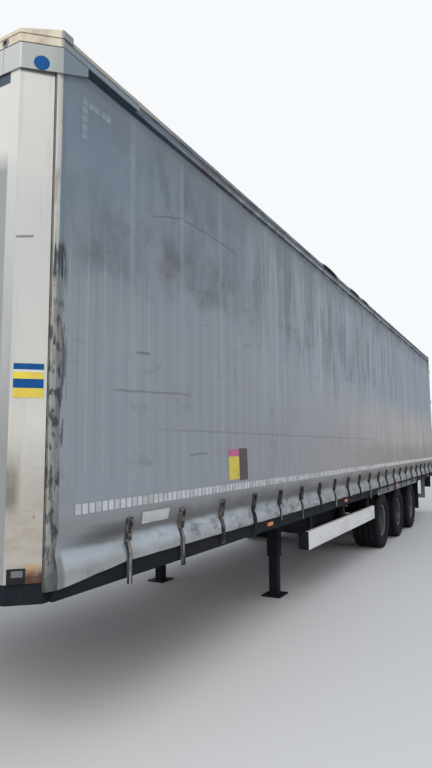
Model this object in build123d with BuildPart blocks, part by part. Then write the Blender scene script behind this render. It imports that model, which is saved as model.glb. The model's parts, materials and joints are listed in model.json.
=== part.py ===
"""A low-deck curtain-sided semi trailer, 13.7 m long, on three single-tyred axles.

The frame: +X runs rearward, +Y to the trailer's right-hand side, +Z up. The origin lies on the ground
under the middle of the trailer. Stations (names that end in _s) are measured rearward from the front
face, and at(station) turns one into x. All sizes are millimetres.
"""
from math import hypot, radians, tan
import os

from build123d import *

os.makedirs("parts", exist_ok=True)

# Overall envelope
overall_length = 13710.0
overall_width = 2550.0
overall_height = 4000.0
half_width = overall_width / 2


def at(station):
    """x of a station measured rearward from the front face."""
    return station - overall_length / 2


def save(built, name):
    """Label a finished sub-part and write it as its own STEP file."""
    built.part.label = name
    export_step(built.part, f"parts/{name}.step")


# Clearances between pieces
running_gap = 0.05
seat_gap = 0.3
door_gap = 6.0

# Floor and frame levels
floor_top = 1010.0
floor_thickness = 27.0
deck_under = floor_top - floor_thickness
rave_height = 105.0
rave_wall = 5.0
rave_flange = 60.0
rave_outer_y = half_width - 25.0
rave_under = floor_top - rave_height

# Main beams: an I section whose lower edge follows a gooseneck
beam_y = 650.0
beam_flange_width = 130.0
beam_flange = 10.0
beam_web = 8.0
beam_start_s = 250.0
beam_end_s = 13540.0
neck_depth = 60.0
deep_depth = 478.0
axle_bay_depth = 290.0
tail_depth = 180.0
neck_end_s = 3000.0
deep_start_s = 5350.0
deep_end_s = 6850.0
axle_bay_s = 7100.0
tail_start_s = 11300.0
tail_end_s = 12300.0

# Running gear
axle_count = 3
axle_1_s = 7750.0
axle_spacing = 1310.0
tyre_radius = 447.5
tyre_width = 445.0
tyre_outer_y = half_width - 33.0
wheel_y = tyre_outer_y - tyre_width / 2
axle_z = tyre_radius
axle_stations = [axle_1_s + axle_spacing * i for i in range(axle_count)]
side_names = {-1: "left", 1: "right"}
rim_half_width = 190.0
dish_depth = 118.0
disc_thickness = 30.0

# Body shell
curtain_thickness = 3.0
valance_thickness = 3.0
curtain_outer_y = half_width - 13.0
waist_top_in = 2.0
curtain_front_s = 165.0
rear_frame_s = 13560.0
rear_frame_depth = 65.0
rear_face_s = rear_frame_s + rear_frame_depth
rail_top = overall_height - 55.0
rail_under = overall_height - 165.0
band_top = overall_height - 115.0
band_under = overall_height - 262.0
curtain_top = rail_under + 3.0
hem_z = floor_top - 2.0
waist_z = floor_top + 150.0
waist_top_z = floor_top + 280.0
waist_in = 20.0
hem_out = 3.0

# Main beams
web_path = [
    (beam_start_s, neck_depth),
    (neck_end_s, neck_depth),
    (deep_start_s, deep_depth),
    (deep_end_s, deep_depth),
    (axle_bay_s, axle_bay_depth),
    (tail_start_s, axle_bay_depth),
    (tail_end_s, tail_depth),
    (beam_end_s, tail_depth),
]
lower_edge = [(at(s), deck_under - depth) for s, depth in web_path]
upper_of_flange = [(x, z + beam_flange) for x, z in lower_edge]
with BuildPart() as main_beams:
    with BuildSketch(Plane.XZ.offset(-beam_y)):
        with BuildLine():
            Polyline(
                *upper_of_flange,
                (at(beam_end_s), deck_under - beam_flange),
                (at(beam_start_s), deck_under - beam_flange),
                close=True,
            )
        make_face()
    extrude(amount=beam_web / 2, both=True)
    with BuildSketch(Plane.XZ.offset(-beam_y)):
        with BuildLine():
            Polyline(*lower_edge, *reversed(upper_of_flange), close=True)
        make_face()
    extrude(amount=beam_flange_width / 2, both=True)
    with Locations(((at(beam_start_s) + at(beam_end_s)) / 2, beam_y, deck_under - beam_flange / 2)):
        Box(beam_end_s - beam_start_s, beam_flange_width, beam_flange)
    mirror(about=Plane.XZ)
save(main_beams, "main_beams")

# Cross members: a shallow channel butts on each web between the beams, and an outrigger reaches the side rave
member_width = 45.0
member_pitch = axle_spacing / 3
member_first = -16
member_last = 13
member_depth = neck_depth - 2 * beam_flange
deep_member_depth = 95.0
outrigger_tip_y = rave_outer_y - rave_wall
web_inner_y = beam_y - beam_web / 2
web_outer_y = beam_y + beam_web / 2
member_top = deck_under - beam_flange
member_stations = [axle_1_s + member_pitch * i for i in range(member_first, member_last + 1)]
with BuildPart() as cross_members:
    for s in member_stations:
        bay_is_deep = deep_start_s - 1000 < s < axle_bay_s - 200 or s > axle_stations[-1] + 500
        depth = deep_member_depth if bay_is_deep else member_depth
        with Locations((at(s), 0, member_top - depth / 2)):
            Box(member_width, 2 * web_inner_y, depth)
        with BuildSketch(Plane.YZ.offset(at(s) - member_width / 2)):
            with BuildLine():
                Polyline(
                    (web_outer_y, member_top),
                    (outrigger_tip_y, member_top),
                    (outrigger_tip_y, member_top - member_depth),
                    (web_outer_y, member_top - depth),
                    close=True,
                )
            make_face()
            mirror(about=Plane.YZ)
        extrude(amount=member_width)
save(cross_members, "cross_members")

# Side raves: the channel along each edge of the deck
rave_start_s = 200.0
with BuildPart() as side_raves:
    with BuildSketch(Plane.YZ.offset(at(rave_start_s))):
        with BuildLine():
            Polyline(
                (rave_outer_y - rave_flange, floor_top),
                (rave_outer_y, floor_top),
                (rave_outer_y, rave_under),
                (rave_outer_y - rave_flange, rave_under),
                (rave_outer_y - rave_flange, rave_under + rave_wall),
                (rave_outer_y - rave_wall, rave_under + rave_wall),
                (rave_outer_y - rave_wall, floor_top - rave_wall),
                (rave_outer_y - rave_flange, floor_top - rave_wall),
                close=True,
            )
        make_face()
        mirror(about=Plane.YZ)
    extrude(amount=rear_frame_s - rave_start_s)
save(side_raves, "side_raves")

# Front bolster: the closed box across the front of the deck, with the corners cut back
bolster_front_s = 25.0
bolster_cut_s = 150.0
bolster_cut_y = 1085.0
with BuildPart() as front_bolster:
    with BuildSketch(Plane.XY.offset(rave_under)):
        with BuildLine():
            Polyline(
                (at(bolster_front_s), bolster_cut_y),
                (at(bolster_cut_s), rave_outer_y - 25),
                (at(rave_start_s), rave_outer_y - 25),
                (at(rave_start_s), -(rave_outer_y - 25)),
                (at(bolster_cut_s), -(rave_outer_y - 25)),
                (at(bolster_front_s), -bolster_cut_y),
                close=True,
            )
        make_face()
    extrude(amount=rave_height)
save(front_bolster, "front_bolster")

# Coupler plate under the neck, and the kingpin standing down from it
plate_start_s = 330.0
plate_end_s = 2700.0
plate_thickness = 8.0
kingpin_s = 1710.0
pin_upper_radius = 36.5
pin_flats = 16
neck_under = deck_under - neck_depth
plate_under = neck_under - plate_thickness
with BuildPart() as coupler_plate:
    with Locations(((at(plate_start_s) + at(plate_end_s)) / 2, 0, plate_under + plate_thickness / 2)):
        Box(plate_end_s - plate_start_s, 2 * beam_y + beam_flange_width, plate_thickness)
    with BuildSketch(Plane.XY.offset(plate_under)):
        with Locations((at(kingpin_s), 0)):
            RegularPolygon(pin_upper_radius + running_gap, pin_flats)
    extrude(amount=plate_thickness, mode=Mode.SUBTRACT)
save(coupler_plate, "coupler_plate")

pin_neck_radius = 25.4
pin_collar_radius = 35.7
pin_upper_height = 30.0
pin_neck_height = 35.0
pin_collar_height = 19.0
pin_flange = 300.0
pin_flange_thickness = 9.0
with BuildPart() as kingpin:
    with Locations((at(kingpin_s), 0, neck_under + seat_gap + pin_flange_thickness / 2)):
        Box(pin_flange, pin_flange, pin_flange_thickness)
    with BuildSketch(Plane.XY.offset(neck_under + seat_gap)):
        with Locations((at(kingpin_s), 0)):
            RegularPolygon(pin_upper_radius, pin_flats)
    extrude(amount=-(neck_under + seat_gap - plate_under))
    with BuildSketch(Plane.XY.offset(plate_under)):
        with Locations((at(kingpin_s), 0)):
            RegularPolygon(pin_upper_radius, pin_flats)
    extrude(amount=-pin_upper_height)
    with BuildSketch(Plane.XY.offset(plate_under - pin_upper_height)):
        with Locations((at(kingpin_s), 0)):
            Circle(pin_neck_radius)
    extrude(amount=-pin_neck_height)
    with BuildSketch(Plane.XY.offset(plate_under - pin_upper_height - pin_neck_height)):
        with Locations((at(kingpin_s), 0)):
            Circle(pin_collar_radius)
    extrude(amount=-pin_collar_height)
save(kingpin, "kingpin")

# Load floor between the raves
floor_half_width = rave_outer_y - rave_flange - seat_gap
with BuildPart() as load_floor:
    with Locations(((at(rave_start_s) + at(rear_frame_s)) / 2, 0, floor_top - floor_thickness / 2)):
        Box(rear_frame_s - rave_start_s - 2 * seat_gap, 2 * floor_half_width, floor_thickness)
save(load_floor, "load_floor")

# Front corner in plan: a flat face, then a slanted corner back to the side, folded from one sheet
wall_front_s = 12.0
corner_fold_y = 1098.0
corner_end_s = 142.0
corner_end_y = 1226.0
pillar_sheet = 5.0
pillar_return_s = 96.0
pillar_inner_y = 1150.0
wall_thickness = 32.0
shell_foot_z = floor_top + seat_gap
corner_run = hypot(corner_end_s - wall_front_s, corner_end_y - corner_fold_y)
run_back = (corner_end_s - wall_front_s) / corner_run
run_out = (corner_end_y - corner_fold_y) / corner_run


def corner_point(along, proud):
    """Plan point at a distance along the slanted face from its fold, and proud of that face."""
    return (
        at(wall_front_s) + along * run_back - proud * run_out,
        corner_fold_y + along * run_out + proud * run_back,
    )


lamp_cut_start = 14.0
lamp_cut_end = 104.0
lamp_cut_height = 75.0
sheet_fold = 2.4 * pillar_sheet
with BuildPart() as front_pillars:
    with BuildSketch(Plane.XY.offset(shell_foot_z)):
        with BuildLine():
            Polyline(
                (at(wall_front_s), corner_fold_y),
                (at(corner_end_s), corner_end_y),
                (at(corner_end_s), pillar_inner_y),
                (at(pillar_return_s), pillar_inner_y),
                (at(pillar_return_s), pillar_inner_y + pillar_sheet),
                (at(corner_end_s - pillar_sheet), pillar_inner_y + pillar_sheet),
                (at(corner_end_s - pillar_sheet), corner_end_y - sheet_fold),
                (at(wall_front_s + sheet_fold), corner_fold_y + pillar_sheet),
                (at(wall_front_s + wall_thickness), corner_fold_y + pillar_sheet),
                (at(wall_front_s + wall_thickness), corner_fold_y),
                close=True,
            )
        make_face()
        mirror(about=Plane.XZ)
    extrude(amount=band_top - shell_foot_z)
    with BuildSketch(Plane.XY.offset(shell_foot_z)):
        with BuildLine():
            Polyline(
                corner_point(lamp_cut_start, pillar_sheet),
                corner_point(lamp_cut_end, pillar_sheet),
                corner_point(lamp_cut_end, -pillar_sheet - seat_gap),
                corner_point(lamp_cut_start, -pillar_sheet - seat_gap),
                close=True,
            )
        make_face()
        mirror(about=Plane.XZ)
    extrude(amount=lamp_cut_height, mode=Mode.SUBTRACT)
save(front_pillars, "front_pillars")

# Corner lamps: a housing in the cut-out at the foot of each pillar
lamp_proud = 2.0
lamp_back = 16.0
lamp_side_depth = 4.0
lamp_back_start = 48.0
with BuildPart() as corner_lamps:
    with BuildSketch(Plane.XY.offset(shell_foot_z)):
        with BuildLine():
            Polyline(
                corner_point(lamp_cut_start + seat_gap, lamp_proud),
                corner_point(lamp_cut_end - seat_gap, lamp_proud),
                corner_point(lamp_cut_end - seat_gap, -lamp_back),
                corner_point(lamp_back_start, -lamp_back),
                corner_point(lamp_cut_start + seat_gap, -lamp_side_depth),
                close=True,
            )
        make_face()
        mirror(about=Plane.XZ)
    extrude(amount=lamp_cut_height - seat_gap)
save(corner_lamps, "corner_lamps")

with BuildPart() as front_wall:
    with BuildSketch(Plane.XY.offset(shell_foot_z)):
        with Locations((at(wall_front_s + wall_thickness / 2), 0)):
            Rectangle(wall_thickness, 2 * (corner_fold_y - seat_gap))
    extrude(amount=band_top - shell_foot_z)
save(front_wall, "front_wall")

# Front band: the folded sheet round the head of the wall and both corners
band_fold_y = half_width - 172.0
band_corner_s = 156.0
band_side_y = half_width
band_leg_s = 355.0
band_thickness = 6.0
band_tip_under = rail_under
band_outer = [
    (at(band_leg_s), band_side_y),
    (at(band_corner_s), band_side_y),
    (at(0), band_fold_y),
]
band_inset = band_thickness * tan(radians(22.5))
band_inner = [
    (at(band_thickness), band_fold_y - band_inset),
    (at(band_corner_s + band_inset), band_side_y - band_thickness),
    (at(band_leg_s), band_side_y - band_thickness),
]
band_loop = band_outer + [(x, -y) for x, y in reversed(band_outer)]
band_loop += [(x, -y) for x, y in reversed(band_inner)] + band_inner
with BuildPart() as front_band:
    with BuildSketch(Plane.XY.offset(band_under)):
        with BuildLine():
            Polyline(*band_loop, close=True)
        make_face()
    extrude(amount=band_top - band_under)
    with BuildSketch(Plane.XZ.offset(-half_width - band_thickness)):
        with BuildLine():
            Polyline(
                (at(band_corner_s + 2 * band_inset), band_under),
                (at(band_leg_s), band_tip_under),
                (at(band_leg_s) + band_thickness, band_under - band_thickness),
                (at(band_corner_s + 2 * band_inset), band_under - band_thickness),
                close=True,
            )
        make_face()
    extrude(amount=overall_width + 2 * band_thickness, mode=Mode.SUBTRACT)
save(front_band, "front_band")

# Roof front cap: a lower strip that runs back over the rails, a groove, and a head with sloped edges
rail_outer_y = curtain_outer_y - band_thickness - seat_gap
cap_under = band_top + seat_gap
cap_groove_under = rail_top - 8.0
cap_head_under = rail_top + seat_gap
cap_groove_depth = 9.0
cap_end_s = 228.0
cap_slope = 36.0
cap_strip_end_s = 858.0
cap_strip_tip = 30.0
cap_loop = [
    (at(0), band_fold_y),
    (at(band_corner_s), band_side_y),
    (at(cap_end_s), band_side_y),
]
cap_loop += [(x, -y) for x, y in reversed(cap_loop)]
cap_layers = [
    # underside, top, how far the edge is set in
    (cap_under, cap_groove_under, 0.0),
    (cap_groove_under, cap_head_under, cap_groove_depth),
    (cap_head_under, overall_height, 0.0),
]
with BuildPart() as roof_front_cap:
    for layer_under, layer_top, set_in in cap_layers:
        with BuildSketch(Plane.XY.offset(layer_under)):
            with BuildLine():
                Polyline(*cap_loop, close=True)
            make_face()
            if set_in:
                offset(amount=-set_in, kind=Kind.INTERSECTION)
        extrude(amount=layer_top - layer_under)
    head_edges = roof_front_cap.edges().group_by(Axis.Z)[-1].filter_by(
        lambda edge: edge.center().X < at(cap_end_s) - 1 and abs(edge.center().Y) < band_side_y - 1
    )
    chamfer(head_edges, length=cap_slope)
    for sign in side_names:
        with BuildSketch(Plane.XZ.offset(-sign * band_side_y)):
            with BuildLine():
                Polyline(
                    (at(cap_end_s), cap_under),
                    (at(cap_strip_end_s - cap_strip_tip), cap_under),
                    (at(cap_strip_end_s), cap_under + cap_strip_tip / 2),
                    (at(cap_strip_end_s), cap_groove_under - cap_strip_tip / 2),
                    (at(cap_strip_end_s - cap_strip_tip), cap_groove_under),
                    (at(cap_end_s), cap_groove_under),
                    close=True,
                )
            make_face()
        extrude(amount=sign * (band_side_y - rail_outer_y - seat_gap))
save(roof_front_cap, "roof_front_cap")

# Rear frame: a portal of sill, two posts and header
frame_outer_y = curtain_outer_y
post_inner_y = 1180.0
header_under = overall_height - 200.0
header_top = overall_height - 12.0
hinge_s = 13670.0
hinge_y = half_width - 17.0
hinge_pin_radius = 7.0
hinge_eye_radius = 13.0
eye_flats = 8
half_flat = 180.0 / eye_flats
hinge_height = 60.0
hinge_lug_height = 18.0
hinge_gap = 1.0
hinge_count = 4
hinge_first_z = floor_top + 240.0
hinge_last_z = header_under - 200.0
hinge_pitch = (hinge_last_z - hinge_first_z) / (hinge_count - 1)
hinge_levels = [hinge_first_z + hinge_pitch * i for i in range(hinge_count)]
lug_root = 5.0
with BuildPart() as rear_frame:
    with BuildSketch(Plane.YZ.offset(at(rear_frame_s))):
        with BuildLine():
            Polyline(
                (-frame_outer_y, rave_under),
                (frame_outer_y, rave_under),
                (frame_outer_y, header_top),
                (-frame_outer_y, header_top),
                close=True,
            )
        make_face()
        with Locations((0, (floor_top + header_under) / 2)):
            Rectangle(2 * post_inner_y, header_under - floor_top, mode=Mode.SUBTRACT)
    extrude(amount=rear_frame_depth)
    for z in hinge_levels:
        for lug_z in (z - hinge_height / 2 - hinge_gap - hinge_lug_height, z + hinge_height / 2 + hinge_gap):
            with BuildSketch(Plane.XY.offset(lug_z)):
                with BuildLine():
                    Polyline(
                        (at(rear_face_s - lug_root), hinge_y - hinge_eye_radius),
                        (at(hinge_s + hinge_eye_radius), hinge_y - hinge_eye_radius),
                        (at(hinge_s + hinge_eye_radius), hinge_y + hinge_eye_radius / 2),
                        (at(hinge_s), hinge_y + hinge_eye_radius),
                        (at(rear_face_s - lug_root), frame_outer_y),
                        close=True,
                    )
                make_face()
                mirror(about=Plane.XZ)
            extrude(amount=hinge_lug_height)
        with BuildSketch(Plane.XY.offset(z - hinge_height / 2 - hinge_gap)):
            with Locations((at(hinge_s), hinge_y), (at(hinge_s), -hinge_y)):
                RegularPolygon(hinge_pin_radius, eye_flats)
        extrude(amount=hinge_height + 2 * hinge_gap)
save(rear_frame, "rear_frame")

# Rear doors: each leaf with its hinge straps, and its lock rods as a second piece
door_thickness = 30.0
door_outer_s = 13622.0
door_meeting_y = 6.0
door_edge_y = post_inner_y - door_gap
door_bottom = floor_top + door_gap
door_top = header_under - door_gap
strap_thickness = 8.0
strap_reach = 330.0
strap_bend = 40.0
strap_eye_outer = 2.0
strap_eye_inner = 10.0
rod_radius = 13.5
rod_flats = 8
rod_guide_wall = 5.0
rod_guide_width = 64.0
rod_guide_height = 70.0
rod_s = 13657.0
handle_length = 420.0
handle_overlap = 20.0
handle_depth = 14.0
handle_height = 32.0
lock_rod_table = [
    # offset from the hinge, way the handle points (1 is towards the hinge), handle level
    (358.0, -1, floor_top + 320.0),
    (958.0, 1, floor_top + 440.0),
]
rod_bottom = floor_top - 25.0
rod_top = header_under + 26.0
rod_guide_low = floor_top + 140.0
rod_guide_high = header_under - 85.0
rod_guide_levels = [rod_guide_low, (rod_guide_low + rod_guide_high) / 2, rod_guide_high]
for sign, side in side_names.items():
    with BuildPart() as door:
        with Locations((at(door_outer_s - door_thickness / 2), sign * (door_meeting_y + door_edge_y) / 2,
                        (door_bottom + door_top) / 2)):
            Box(door_thickness, door_edge_y - door_meeting_y, door_top - door_bottom)
        for z in hinge_levels:
            with BuildSketch(Plane.XY.offset(z - hinge_height / 2)):
                with BuildLine():
                    Polyline(
                        (at(door_outer_s), sign * (door_edge_y - strap_reach)),
                        (at(door_outer_s), sign * (door_edge_y - strap_bend)),
                        (at(hinge_s - strap_thickness), sign * (hinge_y + strap_eye_outer)),
                        (at(hinge_s + strap_thickness / 2), sign * (hinge_y - strap_eye_inner)),
                        (at(door_outer_s + strap_thickness), sign * (door_edge_y - strap_bend)),
                        (at(door_outer_s + strap_thickness), sign * (door_edge_y - strap_reach)),
                        close=True,
                    )
                make_face()
                with Locations((at(hinge_s), sign * hinge_y)):
                    RegularPolygon(hinge_eye_radius, eye_flats)
                    RegularPolygon(
                        hinge_pin_radius + running_gap,
                        eye_flats,
                        major_radius=False,
                        rotation=half_flat,
                        mode=Mode.SUBTRACT,
                    )
            extrude(amount=hinge_height)
    save(door, f"door_{side}")

    with BuildPart() as lock_rods:
        for offset_y, handle_way, handle_z in lock_rod_table:
            rod_y = sign * (hinge_y - offset_y)
            with BuildSketch(Plane.XY.offset(rod_bottom)):
                with Locations((at(rod_s), rod_y)):
                    RegularPolygon(rod_radius, rod_flats)
            extrude(amount=rod_top - rod_bottom)
            guide_start = door_outer_s + seat_gap
            guide_end = rod_s + rod_radius + rod_guide_wall
            for z in rod_guide_levels:
                with Locations(((at(guide_start) + at(guide_end)) / 2, rod_y, z)):
                    Box(guide_end - guide_start, rod_guide_width, rod_guide_height)
            handle_y = rod_y + sign * handle_way * (handle_length / 2 - handle_overlap)
            with Locations((at(rod_s) + rod_radius + handle_depth / 2 - 1, handle_y, handle_z)):
                Box(handle_depth, handle_length, handle_height)
    save(lock_rods, f"lock_rods_{side}")

# Roof rails along the top of each side
rail_inner_y = 1190.0
recess_y = 1230.0
recess_top = overall_height - 113.0
with BuildPart() as roof_rails:
    with BuildSketch(Plane.YZ.offset(at(cap_end_s + seat_gap))):
        with BuildLine():
            Polyline(
                (rail_inner_y, rail_top),
                (rail_outer_y, rail_top),
                (rail_outer_y, recess_top),
                (recess_y, recess_top),
                (recess_y, rail_under),
                (rail_inner_y, rail_under),
                close=True,
            )
        make_face()
        mirror(about=Plane.YZ)
    extrude(amount=rear_frame_s - cap_end_s - 2 * seat_gap)
save(roof_rails, "roof_rails")

# Roof bows across, and the roof tarpaulin over them
tarp_edge_y = half_width - 17.0
tarp_edge_top = overall_height - 15.0
tarp_thickness = 5.0
tarp_under = rail_top + seat_gap
bow_width = 50.0
bow_depth = 28.0
bow_tip_y = 1235.0
bow_count = 21
bow_first_s = 600.0
bow_last_s = 13250.0
bow_pitch = (bow_last_s - bow_first_s) / (bow_count - 1)
bow_crown = overall_height - tarp_thickness - 1.0
bow_tip_top = bow_crown - 16.0
with BuildPart() as roof_bows:
    for index in range(bow_count):
        with BuildSketch(Plane.YZ.offset(at(bow_first_s + bow_pitch * index) - bow_width / 2)):
            with BuildLine():
                Polyline(
                    (-bow_tip_y, tarp_under),
                    (-bow_tip_y, bow_tip_top),
                    (0, bow_crown),
                    (bow_tip_y, bow_tip_top),
                    (bow_tip_y, tarp_under),
                    (0, bow_crown - bow_depth),
                    close=True,
                )
            make_face()
        extrude(amount=bow_width)
save(roof_bows, "roof_bows")

with BuildPart() as roof_tarp:
    with BuildSketch(Plane.YZ.offset(at(cap_end_s + seat_gap))):
        with BuildLine():
            Polyline(
                (-tarp_edge_y, tarp_under),
                (-tarp_edge_y, tarp_edge_top),
                (0, overall_height),
                (tarp_edge_y, tarp_edge_top),
                (tarp_edge_y, tarp_under),
                (tarp_edge_y - tarp_thickness, tarp_under),
                (tarp_edge_y - tarp_thickness, tarp_edge_top - tarp_thickness),
                (0, overall_height - tarp_thickness),
                (-tarp_edge_y + tarp_thickness, tarp_edge_top - tarp_thickness),
                (-tarp_edge_y + tarp_thickness, tarp_under),
                close=True,
            )
        make_face()
    extrude(amount=rear_frame_s - seat_gap - cap_end_s - seat_gap)
save(roof_tarp, "roof_tarp")

# Side curtains: one closed sheet on each side, pulled in at the waist, with a flared hem
curtain_end_s = rear_frame_s - 18.0
curtain_section = [
    # level z, outer face y
    (curtain_top, curtain_outer_y - 5.0),
    (waist_top_z, curtain_outer_y - waist_top_in),
    (waist_z, curtain_outer_y - waist_in),
    (hem_z, curtain_outer_y + hem_out),
]
curtain_outer = [(y, z) for z, y in curtain_section]
curtain_inner = [(y - curtain_thickness, z) for y, z in reversed(curtain_outer)]
for sign, side in side_names.items():
    with BuildPart() as curtain:
        with BuildSketch(Plane.YZ.offset(at(curtain_front_s))):
            with BuildLine():
                Polyline(*[(sign * y, z) for y, z in curtain_outer + curtain_inner], close=True)
            make_face()
        extrude(amount=curtain_end_s - curtain_front_s)
    save(curtain, f"curtain_{side}")

# Curtain straps: webbing over the hem from a buckle down to the rave
strap_count = 22
strap_first_s = 793.0
strap_pitch = 597.0
strap_width = 45.0
webbing = 3.0
strap_foot_z = rave_under + 10.0
strap_line = [
    (curtain_outer_y - waist_top_in + seat_gap, waist_top_z),
    (curtain_outer_y + hem_out + seat_gap, hem_z),
    (rave_outer_y + valance_thickness + seat_gap, strap_foot_z),
]
strap_loop = strap_line + [(y + webbing, z) for y, z in reversed(strap_line)]
with BuildPart() as curtain_straps:
    for index in range(strap_count):
        strap_x = at(strap_first_s + strap_pitch * index)
        with BuildSketch(Plane.YZ.offset(strap_x - strap_width / 2)):
            with BuildLine():
                Polyline(*strap_loop, close=True)
            make_face()
            mirror(about=Plane.YZ)
        extrude(amount=strap_width)
save(curtain_straps, "curtain_straps")

# Tensioning poles at both ends of each curtain
pole_width = 18.0
pole_y = 1236.0
pole_top = rail_under - seat_gap
with BuildPart() as curtain_poles:
    with BuildSketch(Plane.XY.offset(shell_foot_z)):
        for pole_s in (curtain_front_s - pole_width / 2, curtain_end_s + pole_width / 2):
            with Locations((at(pole_s), pole_y), (at(pole_s), -pole_y)):
                Rectangle(pole_width, pole_width)
    extrude(amount=pole_top - shell_foot_z)
save(curtain_poles, "curtain_poles")

# Sliding posts and the laths between them
post_stations = [3500.0, 6850.0, 10200.0]
post_width = 70.0
post_depth = 40.0
sliding_post_y = 1211.0
lath_count = 4
lath_pitch = (rail_under - floor_top) / (lath_count + 1)
lath_levels = [floor_top + lath_pitch * (i + 1) for i in range(lath_count)]
lath_height = 110.0
lath_thickness = 25.0
with BuildPart() as sliding_posts:
    with BuildSketch(Plane.XY.offset(shell_foot_z)):
        for s in post_stations:
            with Locations((at(s), sliding_post_y), (at(s), -sliding_post_y)):
                Rectangle(post_width, post_depth)
    extrude(amount=pole_top - shell_foot_z)
save(sliding_posts, "sliding_posts")

lath_ends = [corner_end_s] + post_stations + [rear_frame_s]
with BuildPart() as side_laths:
    for start_s, end_s in zip(lath_ends[:-1], lath_ends[1:]):
        run_start = start_s + post_width / 2 + seat_gap if start_s in post_stations else start_s + seat_gap
        run_end = end_s - post_width / 2 - seat_gap if end_s in post_stations else end_s - seat_gap
        for z in lath_levels:
            for sign in side_names:
                with Locations(((at(run_start) + at(run_end)) / 2, sign * sliding_post_y, z)):
                    Box(run_end - run_start, lath_thickness, lath_height)
save(side_laths, "side_laths")

# Landing legs, let down to the ground
leg_s = 4150.0
leg_y = 785.0
leg_outer_width = 125.0
leg_inner_width = 98.0
leg_top = 940.0
leg_outer_foot = 430.0
foot_length = 260.0
foot_width = 220.0
foot_plate = 14.0
bracket_length = 180.0
bracket_top = leg_top - 30.0
bracket_under = bracket_top - 130.0
bracket_taper = 30.0
with BuildPart() as landing_legs:
    with BuildSketch(Plane.XY.offset(leg_outer_foot)):
        with Locations((at(leg_s), leg_y), (at(leg_s), -leg_y)):
            Rectangle(leg_outer_width, leg_outer_width)
    extrude(amount=leg_top - leg_outer_foot)
    with BuildSketch():
        with Locations((at(leg_s), leg_y), (at(leg_s), -leg_y)):
            Rectangle(leg_inner_width, leg_inner_width)
    extrude(amount=leg_outer_foot)
    with BuildSketch():
        with Locations((at(leg_s), leg_y), (at(leg_s), -leg_y)):
            Rectangle(foot_length, foot_width)
    extrude(amount=foot_plate)
    for sign in side_names:
        with BuildSketch(Plane.YZ.offset(at(leg_s) - bracket_length / 2)):
            with BuildLine():
                Polyline(
                    (sign * web_outer_y, bracket_top),
                    (sign * (leg_y - leg_outer_width / 2), bracket_top),
                    (sign * (leg_y - leg_outer_width / 2), bracket_under - bracket_taper),
                    (sign * web_outer_y, bracket_under),
                    close=True,
                )
            make_face()
        extrude(amount=bracket_length)
save(landing_legs, "landing_legs")

shaft_radius = 16.0
shaft_flats = 8
shaft_z = 620.0
gearbox = 110.0
with BuildPart() as landing_gear_drive:
    with BuildSketch(Plane.XZ):
        with Locations((at(leg_s), shaft_z)):
            RegularPolygon(shaft_radius, shaft_flats)
    extrude(amount=leg_y - leg_outer_width / 2 - seat_gap, both=True)
    with Locations((at(leg_s), leg_y + leg_outer_width / 2 + seat_gap + gearbox / 4, shaft_z)):
        Box(gearbox, gearbox / 2, gearbox)
save(landing_gear_drive, "landing_gear_drive")

# Side guards: a channel on hangers between the legs and the wheels
guard_start_s = 4035.0
guard_end_s = 7090.0
guard_under = 550.0
guard_top = 745.0
guard_outer_y = half_width - 30.0
guard_wall = 4.0
guard_lip = 40.0
hanger_width = 60.0
hanger_depth = 110.0
hanger_foot_depth = 70.0
hanger_stations = [member_stations[i] for i in (8, 11, 14)]
with BuildPart() as side_guards:
    with BuildSketch(Plane.YZ.offset(at(guard_start_s))):
        with BuildLine():
            Polyline(
                (guard_outer_y - guard_lip, guard_top),
                (guard_outer_y, guard_top),
                (guard_outer_y, guard_under),
                (guard_outer_y - guard_lip, guard_under),
                (guard_outer_y - guard_lip, guard_under + guard_wall),
                (guard_outer_y - guard_wall, guard_under + guard_wall),
                (guard_outer_y - guard_wall, guard_top - guard_wall),
                (guard_outer_y - guard_lip, guard_top - guard_wall),
                close=True,
            )
        make_face()
        mirror(about=Plane.YZ)
    extrude(amount=guard_end_s - guard_start_s)
save(side_guards, "side_guards")

# Guard hangers: tapered drop plates behind the board, and the return plate that closes its front end
hanger_face_y = guard_outer_y - guard_wall - seat_gap
hanger_foot_z = guard_under + guard_wall + seat_gap
hanger_lip_z = guard_top - guard_wall - seat_gap
return_depth = 115.0
return_wall = 6.0
with BuildPart() as guard_hangers:
    for s in hanger_stations:
        with BuildSketch(Plane.YZ.offset(at(s) - hanger_width / 2)):
            with BuildLine():
                Polyline(
                    (hanger_face_y, hanger_foot_z),
                    (hanger_face_y, hanger_lip_z),
                    (guard_outer_y - guard_lip - seat_gap, hanger_lip_z),
                    (guard_outer_y - guard_lip - seat_gap, rave_under),
                    (guard_outer_y - hanger_depth, rave_under),
                    (guard_outer_y - hanger_foot_depth, hanger_foot_z),
                    close=True,
                )
            make_face()
            mirror(about=Plane.YZ)
        extrude(amount=hanger_width)
    for sign in side_names:
        with Locations((at(guard_start_s - seat_gap - return_wall / 2),
                        sign * (guard_outer_y - return_depth / 2), (guard_under + guard_top) / 2)):
            Box(return_wall, return_depth, guard_top - guard_under)
save(guard_hangers, "guard_hangers")

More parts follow.
